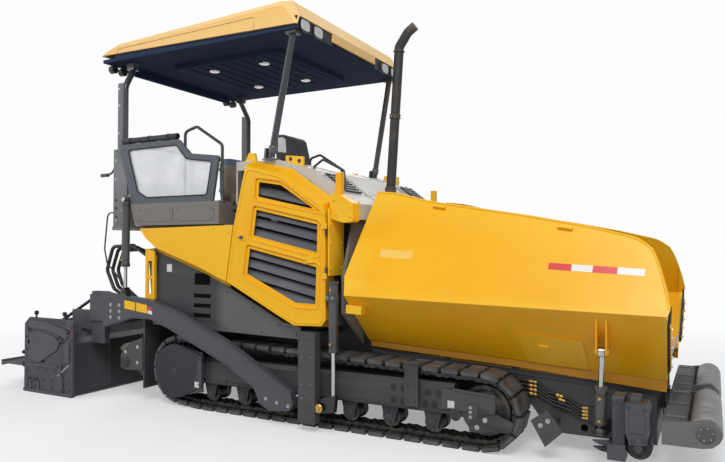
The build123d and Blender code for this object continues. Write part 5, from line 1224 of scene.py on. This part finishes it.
pane, tree, shader = new_material("clear pane")
haze = noise_node(tree, 5, 6)
tree.links.new(ramp_node(tree, haze, [(0.35, (0.66, 0.68, 0.71)), (0.7, (0.82, 0.84, 0.86))]),
               shader.inputs["Base Color"])
tree.links.new(range_node(tree, haze, 0, 1, 0.52, 0.80), shader.inputs["Alpha"])
bump_node(tree, shader, noise_node(tree, 12, 3), 0.05, 0.001)
shader.inputs["Roughness"].default_value = 0.08
shader.inputs["IOR"].default_value = 1.49
paint_node(["shield_panes"], pane)

tread = bmesh.new()
for i in range(33):
    for j in range(46):
        x, y = -2.03 + i * 0.047, -1.055 + j * 0.047
        lean = 0.012 if (i + j) % 2 else -0.012
        blocked = ((x > -0.95 and 0.34 < abs(y) < 0.86) or abs(y) > 1.045
                   or (x < -1.86 and abs(y) > 1.02) or x > -0.50)
        if blocked:
            continue
        add_prism(tread, [(x - 0.012, y - lean - 0.002, 1.7995), (x + 0.012, y + lean - 0.002, 1.7995),
                          (x + 0.012, y + lean + 0.002, 1.7995), (x - 0.012, y - lean + 0.002, 1.7995)],
                  Vector((0, 0, 0.0025)))
link_shape("deck_tread", tread, deck_paint, "chassis")

lids, lid_screws, dials, gaskets = (bmesh.new() for _ in range(4))
for x0, x1 in ((-1.66, -1.30), (-1.26, -0.92), (-0.88, -0.57)):
    add_block(lids, (x0, -1.165, 2.0195), (x1, -1.012, 2.027), 0.003)
    for x in (x0 + 0.025, x1 - 0.025):
        for y in (-1.145, -1.032):
            add_bolt(lid_screws, (x, y, 2.027), (0, 0, 1), 0.005, 0.003, washer=False)
for x0, x1 in ((-1.60, -1.12), (-1.08, -0.60)):
    side_bar(lids, -1.2115, x0, x1, 1.835, 1.975, 0.005, 0.003)
    side_bolts(lid_screws, -1.2165, product((x0 + 0.03, x1 - 0.03), (1.860, 1.950)), 0.006, 0.004,
               washer=False)
for x in (-1.20, -1.14, -1.08, -1.02):
    add_turned(dials, (x, -1.075, 2.026), (x, -1.075, 2.045), capped(0.014, 0.010), 16)
window = [(-1.745, 2.575), (-1.090, 2.585), (-0.955, 2.437), (-0.640, 2.395), (-0.700, 2.085),
          (-1.490, 2.085), (-1.610, 2.150)]
for y in (-1.2055, -1.1745):
    add_rope(gaskets, ring_line(grown(window, 0.004), y, 0.03), 0.006, 8)
side_bolts(lid_screws, -1.205,
           ((-1.82, 2.61), (-1.45, 2.615), (-1.12, 2.615), (-0.92, 2.470), (-0.58, 2.425),
            (-0.66, 2.05), (-1.10, 2.05), (-1.55, 2.05), (-1.74, 2.35)), 0.007, 0.004)
pair("console_lids", lids, console_paint, "chassis")
pair("console_screws", lid_screws, rail_paint, "chassis")
pair("console_dials", dials, black_gloss, "chassis")
pair("pane_gaskets", gaskets, black_rubber, "chassis", 60)

clamps = bmesh.new()
for x in (-1.03, -0.56):
    for z in (2.10, 2.30):
        add_turned(clamps, (x, -1.140, z), (x, -1.140, z + 0.035), collar(0.020, 0.017, 0.12), 22)
        add_block(clamps, (x - 0.012, -1.176, z + 0.004), (x + 0.012, -1.150, z + 0.031), 0.002)
for x in (-1.03, -0.56):
    add_turned(clamps, (x, -1.140, 2.0195), (x, -1.140, 2.028), [(0, 0.034), (1, 0.032)], 24)
add_turned(clamps, (-2.030, -0.990, 1.7995), (-2.030, -0.990, 1.810), [(0, 0.042), (1, 0.040)], 26)
add_turned(clamps, (-2.030, -0.990, 2.45), (-2.030, -0.990, 2.49), collar(0.024, 0.021), 24)
pair("rail_clamps", clamps, rail_paint, "chassis")

lever = bmesh.new()
route_points = [Vector((-2.030, -1.010, 2.47)), Vector((-2.085, -1.060, 2.475)),
                Vector((-2.110, -1.080, 2.385)), Vector((-2.170, -1.090, 2.355)),
                Vector((-2.280, -1.095, 2.352))]
add_rope(lever, eased(route_points, 0.03), 0.011, 10)
add_turned(lever, (-2.165, -1.090, 2.355), (-2.275, -1.095, 2.352),
           [(0, 0.014), (0.1, 0.021), (0.55, 0.017), (0.9, 0.021), (1, 0.015)], 18)
link_shape("rail_lever", lever, black_gloss, "chassis", 60)


# ---------------------------------------------------------------- side curtains
# A weather curtain of dark coated cloth, rolled up along the top of each shield and held with
# straps. The roll is laid in loose turns, so its edge sags between the straps.
cloth, tree, shader = new_material("coated cloth")
weave = tree.nodes.new("ShaderNodeTexWave")
weave.inputs["Scale"].default_value = 160
weave.inputs["Distortion"].default_value = 1.2
place = tree.nodes.new("ShaderNodeTexCoord")
tree.links.new(place.outputs["Object"], weave.inputs["Vector"])
tree.links.new(ramp_node(tree, noise_node(tree, 6, 6), [(0.35, (0.012, 0.015, 0.024)),
                                                       (0.7, (0.030, 0.035, 0.050))]),
               shader.inputs["Base Color"])
bump_node(tree, shader, weave.outputs["Fac"], 0.15, 0.0006)
shader.inputs["Roughness"].default_value = 0.60
shader.inputs["Sheen Weight"].default_value = 0.15


def rolled_curtain(side):
    """The roll's spiral skin with creases, pinched under three straps."""
    shape = bmesh.new()
    rows, turns, around = 96, 3.1, 150
    x0, x1 = -1.838, -1.082
    straps = (-1.72, -1.46, -1.20)
    grid = []
    for i in range(rows + 1):
        x = x0 + (x1 - x0) * i / rows
        pinch = sum(math.exp(-((x - s) / 0.022) ** 2) for s in straps)
        line = []
        for j in range(around + 1):
            share = j / around
            angle = 2 * math.pi * turns * share - math.pi / 2
            radius = 0.013 + 0.0195 * share
            sag = noise.noise(Vector((x * 9, math.cos(angle) * 1.4, math.sin(angle) * 1.4 + side)))
            crease = noise.noise(Vector((x * 34, angle * 2.0, 3.0 * side)))
            radius += (0.0022 * sag + 0.0010 * crease) * share - 0.004 * pinch * share
            tuck = 0.004 * (1 - share) * math.sin(x * 21)
            line.append(shape.verts.new((x + tuck, side * (1.190 + radius * math.cos(angle)),
                                         2.6775 + radius * math.sin(angle) - 0.0015)))
        grid.append(line)
    for i in range(rows):
        for j in range(around):
            shape.faces.new((grid[i][j], grid[i + 1][j], grid[i + 1][j + 1], grid[i][j + 1]))
    return mesh_from(shape, "curtain", 80)


for side, word in ((-1, "right"), (1, "left")):
    roll = link_mesh(f"curtain_{word}", rolled_curtain(side), cloth, "chassis")
    thick = roll.modifiers.new("thickness", "SOLIDIFY")
    thick.thickness = 0.0012
    straps = bmesh.new()
    for x in (-1.72, -1.46, -1.20):
        for k in range(28):
            a0, a1 = (2 * math.pi * t / 28 for t in (k, k + 1))
            ring = [Vector((x + dx, side * (1.190 + r * math.cos(a)), 2.676 + r * math.sin(a)))
                    for dx, r, a in ((-0.011, 0.0315, a0), (0.011, 0.0315, a0),
                                     (0.011, 0.0315, a1), (-0.011, 0.0315, a1),
                                     (-0.011, 0.0335, a0), (0.011, 0.0335, a0),
                                     (0.011, 0.0335, a1), (-0.011, 0.0335, a1))]
            corners = [straps.verts.new(p) for p in ring]
            for face_corners in ((0, 1, 2, 3), (7, 6, 5, 4), (0, 4, 5, 1), (2, 6, 7, 3)):
                straps.faces.new([corners[c] for c in face_corners])
    bmesh.ops.remove_doubles(straps, verts=straps.verts, dist=0.0002)
    strap_piece = link_mesh(f"curtain_straps_{word}", mesh_from(straps, "straps"), black_rubber,
                            "chassis")
    if side < 0:
        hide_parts("curtain_rolls")


# ---------------------------------------------------------------- operator seats
# Two sprung seats of foam under stitched tan vinyl with a blue-grey head roll, each with a
# bolstered cushion and back, bolted to a steel pedestal.
vinyl, tree, shader = new_material("seat vinyl")
grain = tree.nodes.new("ShaderNodeTexVoronoi")
grain.inputs["Scale"].default_value = 420
place = tree.nodes.new("ShaderNodeTexCoord")
tree.links.new(place.outputs["Object"], grain.inputs["Vector"])
body_tone = ramp_node(tree, noise_node(tree, 5, 6), [(0.35, (0.20, 0.155, 0.105)),
                                                     (0.7, (0.28, 0.225, 0.155))])
heights = tree.nodes.new("ShaderNodeSeparateXYZ")
tree.links.new(place.outputs["Object"], heights.inputs["Vector"])
head_roll = range_node(tree, heights.outputs["Z"], 2.412, 2.418)
tree.links.new(blend_colours(tree, head_roll, body_tone, (0.085, 0.115, 0.185)),
               shader.inputs["Base Color"])
bump_node(tree, shader, grain.outputs["Distance"], 0.22, 0.0008)
shader.inputs["Roughness"].default_value = 0.48
piping_vinyl = mottled("seat piping", (40, 3, [(0.3, (0.020, 0.020, 0.022)), (0.7, (0.034, 0.034, 0.036))]),
                       (300, 2, 0.2, 0.0004), 0.42)


def pad_mesh(low, high, crown, power, grooves, name, lean=0.0):
    """A stuffed pad: a rounded block with swollen faces and stitched grooves across it."""
    low, high = Vector(low), Vector(high)
    middle, half = (low + high) / 2, (high - low) / 2
    shape = bmesh.new()
    bmesh.ops.create_cube(shape, size=2)
    bmesh.ops.subdivide_edges(shape, edges=shape.edges[:], cuts=23, use_grid_fill=True)
    for vert in shape.verts:
        p = vert.co.copy()
        size = (abs(p.x) ** power + abs(p.y) ** power + abs(p.z) ** power) ** (1 / power)
        p = p / size
        axis, along = crown
        flat = [p[k] for k in range(3) if k != axis]
        swell = max(0.0, 1 - (flat[0] ** 2 + flat[1] ** 2) / 2)
        depth = 0.0
        for spot in grooves:
            depth += math.exp(-((p[along] - spot) / 0.035) ** 2)
        bolster = abs(p.y) ** 4
        level = 0.86 + 0.10 * swell + 0.07 * bolster - 0.07 * depth * (1 - 0.6 * bolster)
        p[axis] *= min(level, 0.995)
        spot = middle + Vector([p[k] * half[k] for k in range(3)])
        spot.x -= lean * (spot.z - low.z)
        vert.co = spot
    return mesh_from(shape, name, 80)


for side, word in ((-1, "right"), (1, "left")):
    y0, y1 = sorted((side * 0.370, side * 0.830))
    cushion = link_mesh(f"cushion_{word}", pad_mesh((-0.755, y0, 2.0100), (-0.465, y1, 2.120),
                        (2, 0), 6.0, (-0.35, 0.35), "cushion"), vinyl, "chassis")
    back = link_mesh(f"seat_back_{word}", pad_mesh((-0.872, y0, 2.0310), (-0.764, y1, 2.490),
                     (0, 2), 6.0, (-0.45, 0.0, 0.45), "seat_back", 0.021), vinyl, "chassis")
    if side < 0:
        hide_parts("seat_pads")
    piping = bmesh.new()
    loop = [(-0.750, y0 + 0.012), (-0.472, y0 + 0.012), (-0.472, y1 - 0.012), (-0.750, y1 - 0.012)]
    spots = [Vector((x, y, 2.068)) for x, y in loop]
    middle = (spots[0] + spots[-1]) / 2
    add_rope(piping, eased([middle] + spots + [middle], 0.05, 6), 0.004, 8)
    link_mesh(f"seat_piping_{word}", mesh_from(piping, "piping", 60), piping_vinyl, "chassis")


# ---------------------------------------------------------------- operator's console
# A moulded dark housing on the hood's edge in front of the right seat, with a blank pale
# display face, push buttons and a small steering wheel.
plastic = mottled("console plastic", (8, 5, [(0.35, (0.014, 0.015, 0.018)), (0.7, (0.026, 0.027, 0.031))]),
                  (420, 2, 0.25, 0.0005), 0.46)
paint_node(["control_console"], plastic)
panel, buttons, wheel = (bmesh.new() for _ in range(3))
side_plate(panel, -0.7905,
           [(-0.160, 2.505), (-0.060, 2.490), (-0.068, 2.620), (-0.100, 2.645), (-0.160, 2.645)],
           0.006, 0.003)
add_prism(panel, [(-0.1855, -0.76, 2.45), (-0.1855, -0.47, 2.45), (-0.1865, -0.47, 2.62),
                  (-0.1865, -0.76, 2.62)], Vector((-0.006, 0, 0)), 0.003)
for row in range(3):
    for k in range(6):
        spot = (-0.192, -0.735 + k * 0.045, 2.475 + row * 0.028)
        add_turned(buttons, spot, (spot[0] - 0.007, spot[1], spot[2]), capped(0.009, 0.006, 0.6),
                   14)
link_shape("console_face", panel, white_plate, "chassis")
link_shape("console_buttons", buttons, black_gloss, "chassis")
screen = bmesh.new()
add_prism(screen, [(-0.1915, -0.70, 2.562), (-0.1915, -0.53, 2.562), (-0.1920, -0.53, 2.612),
                   (-0.1920, -0.70, 2.612)], Vector((-0.003, 0, 0)), 0.001)
link_shape("console_screen", screen, black_gloss, "chassis")
hub = Vector((-0.205, -0.610, 2.440))
lean = Vector((-0.75, 0, 0.66)).normalized()
turn = lean.to_track_quat("Z", "Y").to_matrix()
ring = [hub + lean * 0.030 + turn @ Vector((0.085 * math.cos(a), 0.085 * math.sin(a), 0))
        for a in (2 * math.pi * k / 40 for k in range(41))]
add_rope(wheel, ring, 0.0085, 10)
add_turned(wheel, hub - lean * 0.02, hub + lean * 0.036, [(0, 0.020), (0.8, 0.022), (1, 0.016)], 20)
for k in range(3):
    a = 2 * math.pi * k / 3 + 0.5
    add_turned(wheel, hub + lean * 0.028, hub + lean * 0.030 + turn @ Vector(
        (0.084 * math.cos(a), 0.084 * math.sin(a), 0)), [(0, 0.006), (1, 0.005)], 8)
link_shape("steering_wheel", wheel, plastic, "chassis", 60)


# ---------------------------------------------------------------- canopy
# A moulded roof shell in a lighter yellow with a dark liner, on four bent posts. Head lamps
# sit in dark bays at its front corners and work lamps hang at its rear corners.
canopy_paint = sprayed_paint("canopy paint", (0.86, 0.455, 0.075), (0.91, 0.505, 0.100), 0.38,
                             (0.95, 0.62, 0.24), shine=0.25)
paint_node(["canopy_roof"], canopy_paint)
liner_paint = sprayed_paint("liner paint", (0.006, 0.016, 0.046), (0.011, 0.025, 0.064), 0.75,
                            (0.03, 0.045, 0.09), shine=0.06)
paint_node(["canopy_liner"], liner_paint)
post_paint = sprayed_paint("post paint", (0.030, 0.033, 0.042), (0.050, 0.053, 0.062), 0.28,
                           (0.14, 0.14, 0.15), coat=0.2)
paint_node(["canopy_posts"], post_paint)
lamp_black = rubber("lamp housing", (0.010, 0.011, 0.014), 0.40, 120.0)
paint_node(["canopy_lamps"], lamp_black)
glass_lens = lens("head lamp lens", (0.70, 0.72, 0.74))
white_lens = lens("cabin lamp lens", (0.86, 0.85, 0.80), 0.25)

seam, liner_ribs, lens_set, cabin = (bmesh.new() for _ in range(4))
joint = bmesh.new()
panel_line = [(-2.030, 3.652), (-2.030, 3.690), (-0.220, 3.738), (-0.220, 3.624)]
add_rope(joint, [Vector((x, -1.1095, z)) for x, z in panel_line], 0.0024, 6)
for y in (-0.750, -0.390):
    add_rope(seam, [Vector((-2.05, y, 3.7705)), Vector((-0.12, y, 3.8583))], 0.006, 8)

# the moulded shoulder along the roof's side edges, over the joint of its skins
shoulder = bmesh.new()
low_edge = [Vector((x, -1.110, z)) for x, z in ((-2.230, 3.6525), (-2.0677, 3.7025),
                                                (0.0565, 3.7958), (0.1271, 3.7855),
                                                (0.2310, 3.6135))]
high_edge = [Vector((x, -1.043, z)) for x, z in ((-2.2592, 3.7115), (-2.0795, 3.7685),
                                                 (0.0600, 3.8625), (0.1685, 3.8472),
                                                 (0.2570, 3.6995))]
rear_tip, front_tip = Vector((-2.2885, -1.091, 3.6525)), Vector((0.2590, -1.085, 3.6135))
for k in range(4):
    a, b, c, d = low_edge[k], low_edge[k + 1], high_edge[k + 1], high_edge[k]
    corners = [a, b] + ([front_tip] if k == 3 else []) + [c, d] + ([rear_tip] if k == 0 else [])
    out = (b - a).cross(d - a).normalized()
    out = out if out.y < 0 else -out
    add_prism(shoulder, [spot - out * 0.001 for spot in corners], out * 0.003, 0.0012, 1)
pair("roof_shoulders", shoulder, canopy_paint, "chassis")
for k in range(9):
    x = -1.52 + k * 0.145
    add_prism(liner_ribs, [(x, -0.60, 3.5305), (x + 0.05, -0.60, 3.5305), (x + 0.05, 0.60, 3.5305),
                           (x, 0.60, 3.5305)], Vector((0, 0, -0.008)), 0.003, 1)
bezels = bmesh.new()


def rounded_oblong(x, y, z, half_y, half_z):
    """A rounded rectangle facing forward."""
    spots = []
    for k in range(32):
        a = 2 * math.pi * k / 32
        cy, cz = math.cos(a), math.sin(a)
        reach = (abs(cy) ** 4 + abs(cz) ** 4) ** -0.25
        spots.append((x, y + half_y * cy * reach, z + half_z * cz * reach))
    return spots


for y in (-0.952, -0.722):
    add_prism(bezels, rounded_oblong(0.236, y, 3.630, 0.088, 0.058), Vector((0.022, 0, 0)), 0.003, 1)
    add_prism(lens_set, rounded_oblong(0.2572, y, 3.630, 0.074, 0.048), Vector((0.0026, 0, 0)),
              0.001, 1)
pair("lamp_bezels", bezels, lamp_black, "chassis")
for y in (-1.010, -0.880):
    add_turned(lens_set, (-2.2285, y, 3.516), (-2.2320, y, 3.516), [(0, 0.036), (1, 0.034)], 28)
for x in (-1.30, -0.62):
    add_turned(cabin, (x, -0.40, 3.5300), (x, -0.40, 3.5180), capped(0.055, 0.045, 0.6), 28)
pair("roof_seams", seam, canopy_paint, "chassis", 60)
pair("roof_joints", joint, black_rubber, "chassis", 60)
link_shape("liner_ribs", liner_ribs, liner_paint, "chassis")
pair("head_lenses", lens_set, glass_lens, "chassis")
pair("cabin_lamps", cabin, white_lens, "chassis")
post_bolts, post_parts = bmesh.new(), bmesh.new()
for x, y in ((-0.100, -1.085), (-0.010, -1.085), (-0.100, -1.000), (-0.010, -1.000)):
    z = hood_height(x) + 0.012
    add_bolt(post_bolts, (x, y, z), (0, 0, 1), 0.010, 0.007)
for z in (2.62, 2.80, 3.10, 3.28):
    add_bolt(post_bolts, (-2.046, -1.058, z), (0, -1, 0), 0.008, 0.005)
side_bolts(post_bolts, -1.100, ((-1.91, 1.86), (-2.04, 1.86), (-2.04, 2.30), (-2.04, 2.50)), 0.010,
           0.007)
add_turned(post_parts, (-0.045, -1.048, 2.455), (-0.033, -1.047, 2.520), collar(0.040, 0.036), 30)
pair("post_bolts", post_bolts, zinc, "chassis")
pair("post_collars", post_parts, post_paint, "chassis")


# ---------------------------------------------------------------- hoses
# Hydraulic hoses of braided rubber with crimped brass ends, held at both ends.
hose_rubber = rubber("hose rubber", (0.014, 0.014, 0.015), 0.50, 200.0)
paint_node(["machine_hoses"], hose_rubber)
hose_ends = bmesh.new()
for step in range(4):
    z0, z1 = 0.530 - 0.032 * step, 0.358 - 0.026 * step
    add_turned(hose_ends, (2.262, -0.7803, z0 - 0.0075), (2.325, -0.7803, z0 - 0.0117),
               [(0, 0.0108), (0.1, 0.014), (0.4, 0.014), (0.5, 0.0108), (0.6, 0.013),
                (0.95, 0.013), (1, 0.0108)], 14)
    if step < 2:
        start = Vector((2.400 + 0.022 * step, -0.7843, z0 - 0.078))
        end = Vector((2.560 + 0.012 * step, -0.7843, z0 - 0.110))
        add_turned(hose_ends, start.lerp(end, 0.45), start.lerp(end, 0.80),
                   [(0, 0.0108), (0.1, 0.015), (0.45, 0.015), (0.5, 0.0115), (0.9, 0.013),
                    (1, 0.0108)], 14)
    add_turned(hose_ends, (2.668, -0.7803, z1), (2.714, -0.7803, z1),
               [(0, 0.0108), (0.5, 0.0108), (0.55, 0.013), (1, 0.013)], 14)
for y in (-0.985, -0.930, -0.875):
    for x, z in ((-1.452, 1.490), (-1.562, 0.930)):
        add_turned(hose_ends, (x, y, z), (x - 0.088, y, z),
                   [(0, 0.026), (0.35, 0.026), (0.4, 0.0215), (1, 0.0215)], 16)
pair("hose_ends", hose_ends, brass, "chassis")


# ---------------------------------------------------------------- floor, light and camera
# A plain pale floor, and soft studio light from above on three sides.
floor_mesh = bpy.data.meshes.new("floor")
floor_mesh.from_pydata([(-60, -60, 0), (60, -60, 0), (60, 60, 0), (-60, 60, 0)], [], [(0, 1, 2, 3)])
floor = bpy.data.objects.new("floor", floor_mesh)
bpy.context.scene.collection.objects.link(floor)
floor_finish, tree, shader = new_material("floor")
pale = ramp_node(tree, noise_node(tree, 0.8, 4), [(0.3, (0.93, 0.93, 0.93)), (0.7, (0.96, 0.96, 0.96))])


def seen_straight(tree):
    """1 for rays from the camera, off a gloss or through glass, and 0 for the rest."""
    paths = tree.nodes.new("ShaderNodeLightPath")
    found = paths.outputs["Is Camera Ray"]
    for name in ("Is Glossy Ray", "Is Transmission Ray"):
        either = tree.nodes.new("ShaderNodeMath")
        either.operation = "MAXIMUM"
        tree.links.new(found, either.inputs[0])
        tree.links.new(paths.outputs[name], either.inputs[1])
        found = either.outputs[0]
    return found


straight = seen_straight(tree)
tree.links.new(blend_colours(tree, straight, (0.46, 0.43, 0.41), pale),
               shader.inputs["Base Color"])
shader.inputs["Roughness"].default_value = 0.9
shader.inputs["Specular IOR Level"].default_value = 0.1
# the floor fades to white away from the machine, and glows a little close to it
away = tree.nodes.new("ShaderNodeVectorMath")
away.operation = "LENGTH"
place = tree.nodes.new("ShaderNodeTexCoord")
tree.links.new(place.outputs["Object"], away.inputs[0])
both = tree.nodes.new("ShaderNodeMath")
both.operation = "MULTIPLY"
tree.links.new(range_node(tree, away.outputs["Value"], 4.0, 9.0, 0.36), both.inputs[0])
tree.links.new(straight, both.inputs[1])
white = tree.nodes.new("ShaderNodeEmission")
white.inputs["Color"].default_value = (0.985, 0.985, 0.99, 1)
lit = tree.nodes.new("ShaderNodeMixShader")
tree.links.new(both.outputs[0], lit.inputs["Fac"])
tree.links.new(shader.outputs[0], lit.inputs[1])
tree.links.new(white.outputs[0], lit.inputs[2])
tree.links.new(lit.outputs[0], tree.nodes["Material Output"].inputs["Surface"])
floor.data.materials.append(floor_finish)

world = bpy.data.worlds.new("studio")
bpy.context.scene.world = world
world.use_nodes = True
sky = world.node_tree
backdrop = sky.nodes.new("ShaderNodeBackground")
backdrop.inputs["Color"].default_value = (0.985, 0.985, 0.99, 1)
backdrop.inputs["Strength"].default_value = 1.0
sky.nodes["Background"].inputs["Color"].default_value = (0.93, 0.96, 1.0, 1)
sky.nodes["Background"].inputs["Strength"].default_value = 0.55
mixed = sky.nodes.new("ShaderNodeMixShader")
paths = sky.nodes.new("ShaderNodeLightPath")
through = sky.nodes.new("ShaderNodeMath")
through.operation = "MAXIMUM"
sky.links.new(paths.outputs["Is Camera Ray"], through.inputs[0])
sky.links.new(paths.outputs["Is Transmission Ray"], through.inputs[1])
sky.links.new(through.outputs[0], mixed.inputs["Fac"])
sky.links.new(sky.nodes["Background"].outputs[0], mixed.inputs[1])
sky.links.new(backdrop.outputs[0], mixed.inputs[2])
sky.links.new(mixed.outputs[0], sky.nodes["World Output"].inputs["Surface"])
for name, spot, aim, size, energy in (
        ("key", (4.5, -9.5, 10.5), (0.3, 0, 1.6), 5.0, 830),
        ("left_fill", (-9.0, -8.0, 6.0), (-1.0, 0, 1.4), 6.0, 240),
        ("back", (-4.0, 9.0, 8.0), (0, 0, 2.0), 6.0, 320)):
    lamp = bpy.data.lights.new(name, "AREA")
    lamp.energy, lamp.size = energy, size
    holder = bpy.data.objects.new(name, lamp)
    holder.location = spot
    holder.rotation_euler = (Vector(aim) - Vector(spot)).to_track_quat("-Z", "Y").to_euler()
    bpy.context.scene.collection.objects.link(holder)

turn, rise = math.radians(28.14), math.radians(1.28)
camera = bpy.data.cameras.new("camera")
camera.sensor_width, camera.lens = 36, 32.668
viewer = bpy.data.objects.new("camera", camera)
viewer.location = (3.572, -6.030, 1.595)
sight = Vector((-math.sin(turn) * math.cos(rise), math.cos(turn) * math.cos(rise), math.sin(rise)))
viewer.rotation_euler = sight.to_track_quat("-Z", "Y").to_euler()
bpy.context.scene.collection.objects.link(viewer)
bpy.context.scene.camera = viewer
bpy.context.scene.view_settings.view_transform = "Standard"
